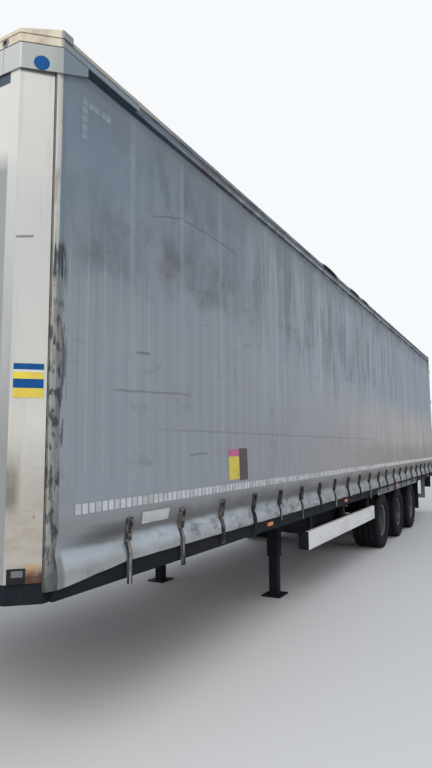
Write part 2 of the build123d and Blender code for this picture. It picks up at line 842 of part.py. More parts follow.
# Axles: tube, brake and spindle ends
tube_radius = 63.5
tube_flats = 16
tube_half = 800.0
spindle_radius = 45.0
spindle_flats = 12
spindle_seat = 70.0
spindle_play = 5.0
disc_inner_offset = rim_half_width - dish_depth - disc_thickness
spindle_tip_y = wheel_y + disc_inner_offset + spindle_seat - spindle_play
drum_radius = 200.0
drum_width = 190.0
drum_flats = 16
drum_gap = 8.0
with BuildPart() as axles:
    for s in axle_stations:
        with BuildSketch(Plane.XZ.offset(-tube_half)):
            with Locations((at(s), axle_z)):
                RegularPolygon(tube_radius, tube_flats)
        extrude(amount=2 * tube_half)
        with BuildSketch(Plane.XZ.offset(-spindle_tip_y)):
            with Locations((at(s), axle_z)):
                RegularPolygon(spindle_radius, spindle_flats)
        extrude(amount=2 * spindle_tip_y)
        for sign in side_names:
            with BuildSketch(Plane.XZ.offset(-sign * (wheel_y + disc_inner_offset - drum_gap - drum_width / 2))):
                with Locations((at(s), axle_z)):
                    RegularPolygon(drum_radius, drum_flats)
            extrude(amount=drum_width / 2, both=True)
save(axles, "axles")

# Wheels: a tyre and a rim for each end of each axle, both turned in flats that keep six wheels light
tread_pitches = 36
rim_flats = 24
bead_radius = 250.0
shoulder_drop = 28.0
shoulder_width = 34.0
rim_radius = bead_radius - running_gap
well_radius = 222.0
hub_radius = 82.0
hub_cap_depth = 70.0
for index, s in enumerate(axle_stations, start=1):
    for sign, side in side_names.items():
        wheel_plane = Plane(origin=(at(s), sign * wheel_y, axle_z), x_dir=(1, 0, 0), z_dir=(0, sign, 0))
        with BuildPart() as tyre:
            with BuildSketch(wheel_plane):
                RegularPolygon(tyre_radius, tread_pitches)
            extrude(amount=tyre_width / 2, both=True)
            sidewalls = tyre.faces().sort_by(Axis.Y)
            for sidewall in (sidewalls[0], sidewalls[-1]):
                chamfer(sidewall.edges(), length=shoulder_drop, length2=shoulder_width, reference=sidewall)
            with BuildSketch(wheel_plane):
                RegularPolygon(bead_radius, rim_flats)
            extrude(amount=tyre_width, both=True, mode=Mode.SUBTRACT)
        save(tyre, f"tyre_{index}_{side}")
        with BuildPart() as rim:
            with BuildSketch(wheel_plane):
                RegularPolygon(rim_radius, rim_flats)
            extrude(amount=rim_half_width, both=True)
            with BuildSketch(wheel_plane.offset(rim_half_width)):
                RegularPolygon(well_radius, rim_flats)
            extrude(amount=-dish_depth, mode=Mode.SUBTRACT)
            with BuildSketch(wheel_plane.offset(-rim_half_width)):
                RegularPolygon(well_radius, rim_flats)
            extrude(amount=2 * rim_half_width - dish_depth - disc_thickness, mode=Mode.SUBTRACT)
            with BuildSketch(wheel_plane.offset(rim_half_width - dish_depth)):
                RegularPolygon(hub_radius, rim_flats // 2)
            extrude(amount=hub_cap_depth)
            with BuildSketch(wheel_plane.offset(rim_half_width - dish_depth - disc_thickness)):
                RegularPolygon(
                    spindle_radius + running_gap,
                    spindle_flats,
                    major_radius=False,
                    rotation=180.0 / spindle_flats,
                )
            extrude(amount=spindle_seat, mode=Mode.SUBTRACT)
        save(rim, f"rim_{index}_{side}")

# Suspension: a trailing arm under each axle end, its hanger, its air spring and its damper
arm_width = 90.0
arm_y = beam_y
pivot_back = 500.0
pivot_z = 410.0
pivot_radius = 42.0
seat_half = 100.0
seat_rear = 210.0
arm_end_half = 30.0
arm_flats = 8
arm_depth = 48.0
arm_top = axle_z - tube_radius
spring_forward = 390.0
spring_radius = 130.0
spring_seat_z = 415.0
seat_plate = 16.0
plate_ahead = 120.0
plate_behind = 60.0
plate_side = 10.0
beam_under = deck_under - axle_bay_depth
with BuildPart() as suspension_arms:
    for s in axle_stations:
        for sign in side_names:
            with BuildSketch(Plane.XZ.offset(-sign * arm_y)):
                with BuildLine():
                    Polyline(
                        (at(s - pivot_back), pivot_z + arm_end_half),
                        (at(s - seat_half), arm_top - seat_gap),
                        (at(s + seat_rear), arm_top - seat_gap),
                        (at(s + spring_forward - plate_ahead), spring_seat_z - seat_plate),
                        (at(s + spring_forward + plate_behind), spring_seat_z - seat_plate),
                        (at(s + seat_rear), arm_top - arm_depth),
                        (at(s - seat_half), arm_top - arm_depth),
                        (at(s - pivot_back), pivot_z - arm_end_half),
                        close=True,
                    )
                make_face()
                with Locations((at(s - pivot_back), pivot_z)):
                    RegularPolygon(pivot_radius, arm_flats)
            extrude(amount=arm_width / 2, both=True)
            with Locations((at(s + spring_forward), sign * arm_y, spring_seat_z - seat_plate / 2)):
                Box(2 * spring_radius, 2 * (spring_radius - plate_side), seat_plate)
save(suspension_arms, "suspension_arms")

hanger_wall = 12.0
hanger_half_length = 130.0
hanger_foot_half = 55.0
hanger_foot_drop = 50.0
hanger_slot_height = 120.0
with BuildPart() as suspension_hangers:
    for s in axle_stations:
        for sign in side_names:
            with BuildSketch(Plane.XZ.offset(-sign * arm_y)):
                with BuildLine():
                    Polyline(
                        (at(s - pivot_back - hanger_half_length), beam_under),
                        (at(s - pivot_back + hanger_half_length), beam_under),
                        (at(s - pivot_back + hanger_foot_half), pivot_z - hanger_foot_drop),
                        (at(s - pivot_back - hanger_foot_half), pivot_z - hanger_foot_drop),
                        close=True,
                    )
                make_face()
            extrude(amount=arm_width / 2 + hanger_wall, both=True)
            with BuildSketch(Plane.XZ.offset(-sign * arm_y)):
                with Locations((at(s - pivot_back), pivot_z)):
                    Rectangle(2 * hanger_half_length, hanger_slot_height + 2 * seat_gap)
            extrude(amount=arm_width / 2 + seat_gap, both=True, mode=Mode.SUBTRACT)
save(suspension_hangers, "suspension_hangers")

# Air springs: a wide bellows on a narrower piston
spring_flats = 12
piston_radius = 88.0
piston_height = 95.0
with BuildPart() as air_springs:
    for s in axle_stations:
        for radius, part_under, part_top in (
            (piston_radius, spring_seat_z, spring_seat_z + piston_height),
            (spring_radius, spring_seat_z + piston_height, beam_under),
        ):
            with BuildSketch(Plane.XY.offset(part_under)):
                with Locations((at(s + spring_forward), arm_y), (at(s + spring_forward), -arm_y)):
                    RegularPolygon(radius, spring_flats)
            extrude(amount=part_top - part_under)
save(air_springs, "air_springs")

# Dampers: a tube on the arm behind the axle, and its wider shroud under the beam
damper_back = 150.0
damper_flats = 6
tube_top_z = 540.0
damper_parts = [
    # radius, underside, top
    (27.0, arm_top, tube_top_z),
    (35.0, tube_top_z, beam_under - seat_gap),
]
with BuildPart() as dampers:
    for s in axle_stations:
        for radius, part_under, part_top in damper_parts:
            with BuildSketch(Plane.XY.offset(part_under)):
                with Locations((at(s + damper_back), arm_y), (at(s + damper_back), -arm_y)):
                    RegularPolygon(radius, damper_flats)
            extrude(amount=part_top - part_under)
save(dampers, "dampers")

# Mudguards: a folded shell over each wheel, its flat top seated under the cross member above the axle
shell_thickness = 3.0
shell_top_z = member_top - member_depth - seat_gap
shell_inner_y = tyre_outer_y - tyre_width
shell_outer_y = rave_outer_y - rave_flange - 2.0
shell_half_section = [
    # distance from the axle, level below the flat top
    (210.0, 0.0),
    (380.0, 75.0),
    (500.0, 210.0),
]
with BuildPart() as mudguards:
    for s in axle_stations:
        for sign in side_names:
            with BuildSketch(Plane.XZ.offset(-sign * (shell_inner_y + shell_outer_y) / 2)):
                with BuildLine():
                    rear_half = [(at(s + out), shell_top_z - drop) for out, drop in shell_half_section]
                    front_half = [(at(s - out), shell_top_z - drop) for out, drop in reversed(shell_half_section)]
                    upper = front_half + rear_half
                    lower = [(x, z - shell_thickness) for x, z in reversed(upper)]
                    Polyline(*upper, *lower, close=True)
                make_face()
            extrude(amount=(shell_outer_y - shell_inner_y) / 2, both=True)
save(mudguards, "mudguards")

# Valances: the light strip along the rave over the wheels, with the flap behind the last wheel
valance_start_s = 7340.0
valance_end_s = 11000.0
valance_under = 880.0
valance_top = 970.0
with BuildPart() as wheel_valances:
    for sign in side_names:
        with Locations(((at(valance_start_s) + at(valance_end_s)) / 2,
                        sign * (rave_outer_y + valance_thickness / 2), (valance_under + valance_top) / 2)):
            Box(valance_end_s - valance_start_s, valance_thickness, valance_top - valance_under)
save(wheel_valances, "wheel_valances")

flap_member = 24
flap_under = 300.0
flap_thickness = 6.0
flap_side_gap = 10.0
flap_s = member_stations[flap_member] + member_width / 2 + seat_gap + flap_thickness / 2
with BuildPart() as mud_flaps:
    for sign in side_names:
        with Locations((at(flap_s), sign * wheel_y, (flap_under + rave_under) / 2)):
            Box(flap_thickness, tyre_width - 2 * flap_side_gap, rave_under - flap_under)
save(mud_flaps, "mud_flaps")

# Air tanks slung between the beams ahead of the axles
tank_radius = 123.0
tank_flats = 12
tank_dome = 22.0
tank_length = 720.0
tank_y = 320.0
tank_s = 6200.0
tank_z = member_top - deep_member_depth - seat_gap - tank_radius
with BuildPart() as air_tanks:
    with BuildSketch(Plane.YZ.offset(at(tank_s) - tank_length / 2)):
        with Locations((tank_y, tank_z), (-tank_y, tank_z)):
            RegularPolygon(tank_radius, tank_flats)
    extrude(amount=tank_length)
    tank_ends = air_tanks.faces().sort_by(Axis.X)
    for tank_end in tank_ends[:2] + tank_ends[-2:]:
        chamfer(tank_end.edges(), length=tank_dome, length2=2 * tank_dome, reference=tank_end)
save(air_tanks, "air_tanks")

# Rear underrun bar on two arms that hang from the last outriggers
bar_s = member_stations[-1]
bar_depth = 60.0
bar_under = 345.0
bar_height = 100.0
bar_half = 1045.0
bar_arm_y = 1000.0
bar_arm_width = 90.0
bar_arm_depth = 40.0
outrigger_slope = (deep_member_depth - member_depth) / (outrigger_tip_y - web_outer_y)


def outrigger_under(y):
    """Level of the underside of a deep outrigger at a distance from the middle."""
    return member_top - deep_member_depth + outrigger_slope * (y - web_outer_y)


with BuildPart() as underrun_bar:
    with Locations((at(bar_s), 0, bar_under + bar_height / 2)):
        Box(bar_depth, 2 * bar_half, bar_height)
    with BuildSketch(Plane.YZ.offset(at(bar_s) - bar_arm_depth / 2)):
        with BuildLine():
            arm_inner = bar_arm_y - bar_arm_width / 2
            arm_outer = bar_arm_y + bar_arm_width / 2
            Polyline(
                (arm_inner, bar_under + bar_height),
                (arm_outer, bar_under + bar_height),
                (arm_outer, outrigger_under(arm_outer) - seat_gap),
                (arm_inner, outrigger_under(arm_inner) - seat_gap),
                close=True,
            )
        make_face()
        mirror(about=Plane.YZ)
    extrude(amount=bar_arm_depth)
save(underrun_bar, "underrun_bar")

# Rear lamps: a housing below each end of the sill, with a leg at its outer end
lamp_board_s = rear_face_s - 40.0
lamp_top_z = rave_under - seat_gap
lamp_height = 130.0
lamp_inner_y = 760.0
lamp_outer_y = 1165.0
lamp_leg_y = 1025.0
lamp_leg_height = 290.0
lamp_depth = 60.0
with BuildPart() as rear_lamps:
    with BuildSketch(Plane.YZ.offset(at(lamp_board_s) - lamp_depth / 2)):
        with BuildLine():
            Polyline(
                (lamp_inner_y, lamp_top_z),
                (lamp_outer_y, lamp_top_z),
                (lamp_outer_y, lamp_top_z - lamp_leg_height),
                (lamp_leg_y, lamp_top_z - lamp_leg_height),
                (lamp_leg_y, lamp_top_z - lamp_height),
                (lamp_inner_y, lamp_top_z - lamp_height),
                close=True,
            )
        make_face()
        mirror(about=Plane.YZ)
    extrude(amount=lamp_depth)
save(rear_lamps, "rear_lamps")

# Number plate holder, blank, in the middle below the sill
number_plate_width = 540.0
number_plate_height = 120.0
number_plate_depth = 12.0
with BuildPart() as number_plate:
    with Locations((at(lamp_board_s), 0, lamp_top_z - number_plate_height / 2)):
        Box(number_plate_depth, number_plate_width, number_plate_height)
save(number_plate, "number_plate")

# Marker lamps along each rave
marker_stations = [2950.0, 5480.0, 8850.0, 12620.0]
marker_length = 110.0
marker_height = 34.0
marker_depth = 15.0
marker_z = rave_under + 58.0
with BuildPart() as marker_lamps:
    for s in marker_stations:
        lamp_face_y = rave_outer_y + (valance_thickness if valance_start_s < s < valance_end_s else 0)
        for sign in side_names:
            with Locations((at(s), sign * (lamp_face_y + marker_depth / 2), marker_z)):
                Box(marker_length, marker_depth, marker_height)
save(marker_lamps, "marker_lamps")

# Rubber buffers on the sill, with sloped upper and lower edges
buffer_y = 1085.0
buffer_width = 110.0
buffer_height = 90.0
buffer_slope = 22.0
with BuildPart() as buffers:
    with BuildSketch(Plane.XZ.offset(-buffer_y)):
        with BuildLine():
            Polyline(
                (at(rear_face_s), rave_under),
                (at(overall_length) - buffer_slope, rave_under),
                (at(overall_length), rave_under + buffer_slope),
                (at(overall_length), rave_under + buffer_height - buffer_slope),
                (at(overall_length) - buffer_slope, rave_under + buffer_height),
                (at(rear_face_s), rave_under + buffer_height),
                close=True,
            )
        make_face()
    extrude(amount=buffer_width / 2, both=True)
    mirror(about=Plane.XZ)
save(buffers, "buffers")

# Service panel: the plate with the air and electric couplings under the front of the deck
panel_half = 300.0
panel_height = 95.0
panel_thickness = 4.0
panel_z = rave_under + rave_height / 2
coupling_radius = 22.0
coupling_flats = 8
coupling_reach = 15.0
coupling_ys = [-220.0, -110.0, 0.0, 110.0, 220.0]
with BuildPart() as service_panel:
    with Locations((at(bolster_front_s - panel_thickness / 2), 0, panel_z)):
        Box(panel_thickness, 2 * panel_half, panel_height)
    with BuildSketch(Plane.YZ.offset(at(bolster_front_s - panel_thickness))):
        for y in coupling_ys:
            with Locations((y, panel_z)):
                RegularPolygon(coupling_radius, coupling_flats)
    extrude(amount=-coupling_reach)
save(service_panel, "service_panel")
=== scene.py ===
"""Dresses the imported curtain-sided semi trailer: cloth, straps, tyres, finishes, light and camera.

All lengths are metres in the part's own frame: +X rearward, +Y to the trailer's right, +Z up, with the
origin on the ground under the middle of the trailer. A station is a distance behind the front face.
"""
import json
import logging
import math
import random
from collections.abc import Iterable
from dataclasses import dataclass, field, replace
from enum import Enum

import bmesh
import bpy
from mathutils import Matrix, Vector, noise

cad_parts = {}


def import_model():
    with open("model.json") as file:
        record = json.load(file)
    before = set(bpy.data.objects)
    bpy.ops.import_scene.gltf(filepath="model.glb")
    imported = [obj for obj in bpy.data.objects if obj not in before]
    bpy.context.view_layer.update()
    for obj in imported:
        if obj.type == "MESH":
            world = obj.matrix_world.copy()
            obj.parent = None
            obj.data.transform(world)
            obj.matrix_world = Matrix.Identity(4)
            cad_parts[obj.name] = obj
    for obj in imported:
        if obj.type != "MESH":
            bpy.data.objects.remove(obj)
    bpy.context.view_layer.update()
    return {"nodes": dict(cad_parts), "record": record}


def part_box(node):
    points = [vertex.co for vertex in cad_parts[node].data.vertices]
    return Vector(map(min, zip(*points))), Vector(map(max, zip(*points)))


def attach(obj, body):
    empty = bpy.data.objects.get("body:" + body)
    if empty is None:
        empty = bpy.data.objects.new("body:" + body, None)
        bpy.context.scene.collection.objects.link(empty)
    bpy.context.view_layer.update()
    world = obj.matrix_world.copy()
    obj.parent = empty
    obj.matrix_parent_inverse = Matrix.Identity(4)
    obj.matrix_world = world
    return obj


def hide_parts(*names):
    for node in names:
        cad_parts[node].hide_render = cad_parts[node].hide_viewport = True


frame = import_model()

LOG = logging.getLogger("trailer")
Colour = tuple[float, float, float]
Span = tuple[float, float, float, float]

HALF_LENGTH = 6.855
FAR = 100.0
ALWAYS: Span = (-FAR - 1, -FAR, FAR, FAR + 1)
BUMP_STRENGTH = 0.6
WEAR_ROUGHNESS = 0.25
MERGE_DISTANCE = 1e-5


def at(station: float) -> float:
    """Return the x of a station measured rearward from the front face."""
    return station - HALF_LENGTH


def before(full: float, gone: float) -> Span:
    """Return a span that covers everything ahead of a station and fades out behind it."""
    return (-FAR - 1, -FAR, at(full), at(gone))


def behind(gone: float, full: float) -> Span:
    """Return a span that fades in behind a station and covers everything further back."""
    return (at(gone), at(full), FAR, FAR + 1)


def below(full: float, gone: float) -> Span:
    """Return a span that covers everything under a level and fades out above it."""
    return (-FAR - 1, -FAR, full, gone)


def above(gone: float, full: float) -> Span:
    """Return a span that fades in over a level and covers everything higher."""
    return (gone, full, FAR, FAR + 1)


def inside(full: float, gone: float) -> Span:
    """Return a span that covers the trailer's middle and fades out towards its sides."""
    return (-FAR - 1, -FAR, full, gone)


def outside(gone: float, full: float) -> Span:
    """Return a span that fades in at a distance from the middle and covers everything further out."""
    return (gone, full, FAR, FAR + 1)


def stations(gone: float, full: float, still: float, past: float) -> Span:
    """Return a span that fades in between the first two stations and out between the last two."""
    return (at(gone), at(full), at(still), at(past))


def faces_of(made: dict) -> list[bmesh.types.BMFace]:
    """Return the faces of what a bmesh operator has just made."""
    return list(dict.fromkeys(face for vert in made["verts"] for face in vert.link_faces))


def edges_of(made: dict) -> list[bmesh.types.BMEdge]:
    """Return the edges of what a bmesh operator has just made."""
    return list(dict.fromkeys(edge for vert in made["verts"] for edge in vert.link_edges))


def paint(made: dict, index: int) -> None:
    """Give the faces of what a bmesh operator has just made one material index."""
    for face in faces_of(made):
        face.material_index = index


def soften(mesh: bmesh.types.BMesh, made: dict, offset: float, segments: int) -> None:
    """Bevel all edges of what a bmesh operator has just made."""
    bmesh.ops.bevel(mesh, geom=edges_of(made), offset=offset, segments=segments, profile=0.5, affect="EDGES",
                    material=-1)


def add_block(mesh: bmesh.types.BMesh, place: Matrix, size: Iterable[float]) -> dict:
    """Add a block of a size at a place and return what the operator made."""
    return bmesh.ops.create_cube(mesh, size=1.0, matrix=place @ Matrix.Diagonal((*size, 1.0)))


def facing(centre: Vector, out: Vector, track: str = "Z") -> Matrix:
    """Return the matrix that stands at a point and turns one axis along a direction."""
    return Matrix.Translation(centre) @ out.to_track_quat(track, "Y").to_matrix().to_4x4()


def shader_of(tree: bpy.types.NodeTree, kind: str) -> bpy.types.Node:
    """Return the tree's first node of a type."""
    return next(node for node in tree.nodes if node.type == kind)


class Side(Enum):
    """The two sides of the trailer, each with its sign along Y."""

    LEFT = -1
    RIGHT = 1

    @property
    def word(self) -> str:
        """The side's name in node names."""
        return self.name.lower()


class NodeKit:
    """Adds nodes to one shader tree and links them."""

    def __init__(self, tree: bpy.types.NodeTree) -> None:
        """Keep the tree.

        Args:
            tree: the material's or group's node tree.
        """
        self.tree = tree

    def add(self, kind: str, settings: dict | None = None, **inputs: object) -> bpy.types.Node:
        """Add a node, set its properties and fill its inputs.

        Args:
            kind: the node's type name without its ShaderNode prefix.
            settings: property values of the node.
            inputs: input values or sockets, with underscores for spaces in the input's name.

        Returns:
            The new node.
        """
        node = self.tree.nodes.new("ShaderNode" + kind)
        for key, value in (settings or {}).items():
            setattr(node, key, value)
        for key, value in inputs.items():
            self.fill(node.inputs[key.replace("_", " ")], value)
        return node

    def fill(self, socket: bpy.types.NodeSocket, value: object) -> None:
        """Link a socket into an input, or set the input's own value.

        Args:
            socket: the input.
            value: another node's output socket, or a plain value.
        """
        if isinstance(value, bpy.types.NodeSocket):
            self.tree.links.new(value, socket)
        else:
            socket.default_value = value

    def maths(self, operation: str, *values: object, clamp: bool = False) -> bpy.types.NodeSocket:
        """Add a math node.

        Args:
            operation: Blender's name of the operation.
            values: up to three values or sockets.
            clamp: whether the result is kept between 0 and 1.

        Returns:
            The node's output.
        """
        node = self.tree.nodes.new("ShaderNodeMath")
        node.operation = operation
        node.use_clamp = clamp
        for socket, value in zip(node.inputs, values):
            self.fill(socket, value)
        return node.outputs[0]

    def ramp(self, value: object, low: object, high: object) -> bpy.types.NodeSocket:
        """Add a node that brings a value to 0 at one end of a range and to 1 at the other, clamped.

        Args:
            value: the value or socket.
            low: where the result is 0.
            high: where the result is 1.

        Returns:
            The node's output.
        """
        node = self.tree.nodes.new("ShaderNodeMapRange")
        node.clamp = True
        for name, item in (("Value", value), ("From Min", low), ("From Max", high)):
            self.fill(node.inputs[name], item)
        return node.outputs[0]

    def blend(self, mask: object, under: object, over: object) -> bpy.types.NodeSocket:
        """Add a node that lays one colour over another.

        Args:
            mask: how much of the upper colour shows.
            under: the lower colour.
            over: the upper colour.

        Returns:
            The mixed colour's socket.
        """
        node = self.tree.nodes.new("ShaderNodeMix")
        node.data_type = "RGBA"
        sockets = {s.identifier: s for s in node.inputs}
        self.fill(sockets["Factor_Float"], mask)
        self.fill(sockets["A_Color"], under)
        self.fill(sockets["B_Color"], over)
        return next(s for s in node.outputs if s.identifier == "Result_Color")


class EffectGroups:
    """The shader node groups that several finishes share, each built once."""

    def __init__(self) -> None:
        """Build all groups."""
        self.weather_and_painted_light = self._weather_and_painted_light()
        self.window = self._window()
        self.bands = self._bands()
        self.crease = self._crease()
        self.grain = self._grain()

    @staticmethod
    def _new(name: str, inputs: Iterable[tuple[str, float]], output: str) -> tuple[NodeKit, object, object]:
        """Start a group with float inputs and one float output.

        Args:
            name: the group's name.
            inputs: pairs of input name and its default.
            output: the output's name.
        """
        tree = bpy.data.node_groups.new(name, "ShaderNodeTree")
        for label, default in inputs:
            socket = tree.interface.new_socket(label, in_out="INPUT", socket_type="NodeSocketFloat")
            socket.default_value = default
        tree.interface.new_socket(output, in_out="OUTPUT", socket_type="NodeSocketFloat")
        kit = NodeKit(tree)
        return kit, tree.nodes.new("NodeGroupInput"), tree.nodes.new("NodeGroupOutput")

    def _weather_and_painted_light(self) -> bpy.types.NodeTree:
        """Patches or streaks of dirt, or of painted light and shade, stretched along or up the surface.

        Returns:
            The group.
        """
        kit, given, result = self._new(
            "weather_and_painted_light",
            [("Across", 1.0), ("Upward", 1.0), ("Detail", 4.0), ("Low", 0.45), ("High", 0.65),
             ("Shift", 0.0)],
            "Mask",
        )
        here = kit.add("SeparateXYZ", Vector=kit.add("TexCoord").outputs["Object"])
        place = kit.add(
            "CombineXYZ",
            X=kit.maths("MULTIPLY", here.outputs["X"], given.outputs["Across"]),
            Y=kit.maths("MULTIPLY", here.outputs["Y"], given.outputs["Across"]),
            Z=kit.maths("MULTIPLY_ADD", here.outputs["Z"], given.outputs["Upward"], given.outputs["Shift"]),
        )
        cloud = kit.add("TexNoise", Vector=place.outputs[0], Scale=1.0, Roughness=0.6,
                        Detail=given.outputs["Detail"])
        kit.fill(result.inputs[0], kit.ramp(cloud.outputs[0], given.outputs["Low"], given.outputs["High"]))
        return kit.tree

    def _window(self) -> bpy.types.NodeTree:
        """The part of the trailer that an effect covers, with soft and uneven borders.

        Returns:
            The group.
        """
        labels = [(f"{axis}{step}", ALWAYS[step]) for axis in "XYZ" for step in range(4)]
        kit, given, result = self._new("window", labels + [("Wobble", 0.0)], "Mask")
        where = kit.add("TexCoord").outputs["Object"]
        here = kit.add("SeparateXYZ", Vector=where)
        cloud = kit.add("TexNoise", Vector=where, Scale=2.6, Detail=3.0)
        centred = kit.maths("MULTIPLY_ADD", cloud.outputs[0], 2.0, -1.0)
        push = kit.maths("MULTIPLY", centred, given.outputs["Wobble"])
        mask: object = 1.0
        for axis in "XYZ":
            place = here.outputs[axis]
            place = kit.maths("ABSOLUTE", place) if axis == "Y" else kit.maths("ADD", place, push)
            rise = kit.ramp(place, given.outputs[f"{axis}0"], given.outputs[f"{axis}1"])
            fall = kit.ramp(place, given.outputs[f"{axis}3"], given.outputs[f"{axis}2"])
            mask = kit.maths("MULTIPLY", mask, kit.maths("MULTIPLY", rise, fall))
        kit.fill(result.inputs[0], mask)
        return kit.tree

    def _bands(self) -> bpy.types.NodeTree:
        """Even bands across X, such as seams, ribs and the gaps between tape squares.

        Returns:
            The group.
        """
        kit, given, result = self._new(
            "bands", [("Pitch", 0.6), ("Start", 0.0), ("Width", 0.05), ("Softness", 0.004)], "Mask"
        )
        here = kit.add("SeparateXYZ", Vector=kit.add("TexCoord").outputs["Object"])
        from_start = kit.maths("SUBTRACT", here.outputs["X"], given.outputs["Start"])
        half = kit.maths("MULTIPLY", given.outputs["Pitch"], 0.5)
        phase = kit.maths("WRAP", from_start, half, kit.maths("MULTIPLY", half, -1.0))
        edge = kit.maths("MULTIPLY", given.outputs["Width"], 0.5)
        outer = kit.maths("ADD", edge, given.outputs["Softness"])
        kit.fill(result.inputs[0], kit.ramp(kit.maths("ABSOLUTE", phase), outer, edge))
        return kit.tree

    def _crease(self) -> bpy.types.NodeTree:
        """A thin line between two points of a side, for welds, scratches, painted shade in creases and a
        painted highlight.

        Returns:
            The group.
        """
        kit, given, result = self._new(
            "crease",
            [("X A", 0.0), ("Z A", 0.0), ("X B", 1.0), ("Z B", 0.0), ("Width", 0.01), ("Wave", 0.01),
             ("Fade", 0.08)],
            "Mask",
        )
        where = kit.add("TexCoord").outputs["Object"]
        here = kit.add("SeparateXYZ", Vector=where)
        cloud = kit.add("TexNoise", Vector=where, Scale=4.0, Detail=2.0)
        wave = kit.maths("MULTIPLY", kit.maths("SUBTRACT", cloud.outputs[0], 0.5), given.outputs["Wave"])
        share = kit.ramp(here.outputs["X"], given.outputs["X A"], given.outputs["X B"])
        rise = kit.maths("SUBTRACT", given.outputs["Z B"], given.outputs["Z A"])
        line = kit.maths("MULTIPLY_ADD", share, rise, given.outputs["Z A"])
        gap = kit.maths("SUBTRACT", kit.maths("ADD", here.outputs["Z"], wave), line)
        core = kit.maths("MULTIPLY", given.outputs["Width"], 0.4)
        near = kit.ramp(kit.maths("ABSOLUTE", gap), given.outputs["Width"], core)
        middle = kit.maths("ABSOLUTE", kit.maths("SUBTRACT", share, 0.5))
        within = kit.ramp(middle, 0.499, kit.maths("SUBTRACT", 0.499, given.outputs["Fade"]))
        kit.fill(result.inputs[0], kit.maths("MULTIPLY", near, within))
        return kit.tree

    def _grain(self) -> bpy.types.NodeTree:
        """Fine unevenness and soft dents of a surface, as a height.

        Returns:
            The group.
        """
        kit, given, result = self._new(
            "grain", [("Fine Scale", 300.0), ("Fine", 0.3), ("Broad Scale", 4.0), ("Broad", 1.0)], "Height"
        )
        here = kit.add("TexCoord").outputs["Object"]
        fine = kit.add("TexNoise", Vector=here, Scale=given.outputs["Fine Scale"], Detail=2.0)
        broad = kit.add("TexNoise", Vector=here, Scale=given.outputs["Broad Scale"], Detail=3.0)
        fine_part = kit.maths("MULTIPLY", fine.outputs[0], given.outputs["Fine"])
        height = kit.maths("MULTIPLY_ADD", broad.outputs[0], given.outputs["Broad"], fine_part)
        kit.fill(result.inputs[0], height)
        return kit.tree


@dataclass(frozen=True)
class Window:
    """The part of the trailer that a mark covers.

    On each axis it rises between the first two values and falls between the last two. Y counts as the
    distance from the middle, so both sides get the same.
    """

    x: Span = ALWAYS
    y: Span = ALWAYS
    z: Span = ALWAYS
    wobble: float = 0.0

    def mask(self, kit: NodeKit, groups: EffectGroups) -> bpy.types.NodeSocket:
        """Add the window to a material and return its mask."""
        spans = {f"{axis}{step}": span[step] for axis, span in (("X", self.x), ("Y", self.y), ("Z", self.z))
                 for step in range(4)}
        return kit.add("Group", {"node_tree": groups.window}, Wobble=self.wobble, **spans).outputs[0]


@dataclass(frozen=True)
class Layer:
    """One layer that lies over a base colour: dust, grime, rust, fading, or painted light and shade."""

    colour: Colour
    strength: float
    across: float = 1.0
    upward: float = 1.0
    low: float = 0.45
    high: float = 0.65
    detail: float = 4.0
    shift: float = 0.0
    window: Window | None = None

    def pattern(self, kit: NodeKit, groups: EffectGroups) -> bpy.types.NodeSocket:
        """Add the layer's pattern to a material and return it."""
        return kit.add("Group", {"node_tree": groups.weather_and_painted_light}, Across=self.across, Upward=self.upward,
                       Detail=self.detail, Low=self.low, High=self.high, Shift=self.shift).outputs[0]


@dataclass(frozen=True)
class Coat:
    """A plain second colour on a part of a piece."""

    colour: Colour
    strength: float
    window: Window

    def pattern(self, kit: NodeKit, groups: EffectGroups) -> float:
        """Return full cover, which the window then limits."""
        return 1.0


@dataclass(frozen=True)
class Bands:
    """Even bands across the trailer's length that lie over a base colour."""

    colour: Colour
    pitch: float
    start: float
    width: float
    softness: float = 0.004
    strength: float = 1.0
    uneven: float = 0.0
    window: Window | None = None

    def pattern(self, kit: NodeKit, groups: EffectGroups) -> bpy.types.NodeSocket:
        """Add the bands to a material, some fainter than others.

        Args:
            kit: the material's node kit.
            groups: the shared effect groups.

        Returns:
            The bands' mask.
        """
        mask = kit.add("Group", {"node_tree": groups.bands}, Pitch=self.pitch, Start=self.start,
                       Width=self.width, Softness=self.softness).outputs[0]
        if not self.uneven:
            return mask
        cloud = kit.add("Group", {"node_tree": groups.weather_and_painted_light}, Across=2.3, Upward=0.5, Low=0.35, High=0.65,
                        Shift=self.start * 3.0).outputs[0]
        share = kit.maths("MULTIPLY_ADD", cloud, self.uneven, 1.0 - self.uneven)
        return kit.maths("MULTIPLY", mask, share)


@dataclass(frozen=True)
class Crease:
    """A thin line between two points, each a station and a level."""

    colour: Colour
    start: tuple[float, float]
    end: tuple[float, float]
    width: float = 0.012
    wave: float = 0.02
    strength: float = 1.0
    fade: float = 0.08
    window: Window | None = None

    def pattern(self, kit: NodeKit, groups: EffectGroups) -> bpy.types.NodeSocket:
        """Add the line to a material and return its mask."""
        ends = {"X A": at(self.start[0]), "Z A": self.start[1], "X B": at(self.end[0]), "Z B": self.end[1]}
        return kit.add("Group", {"node_tree": groups.crease}, Width=self.width, Wave=self.wave,
                       Fade=self.fade, **ends).outputs[0]


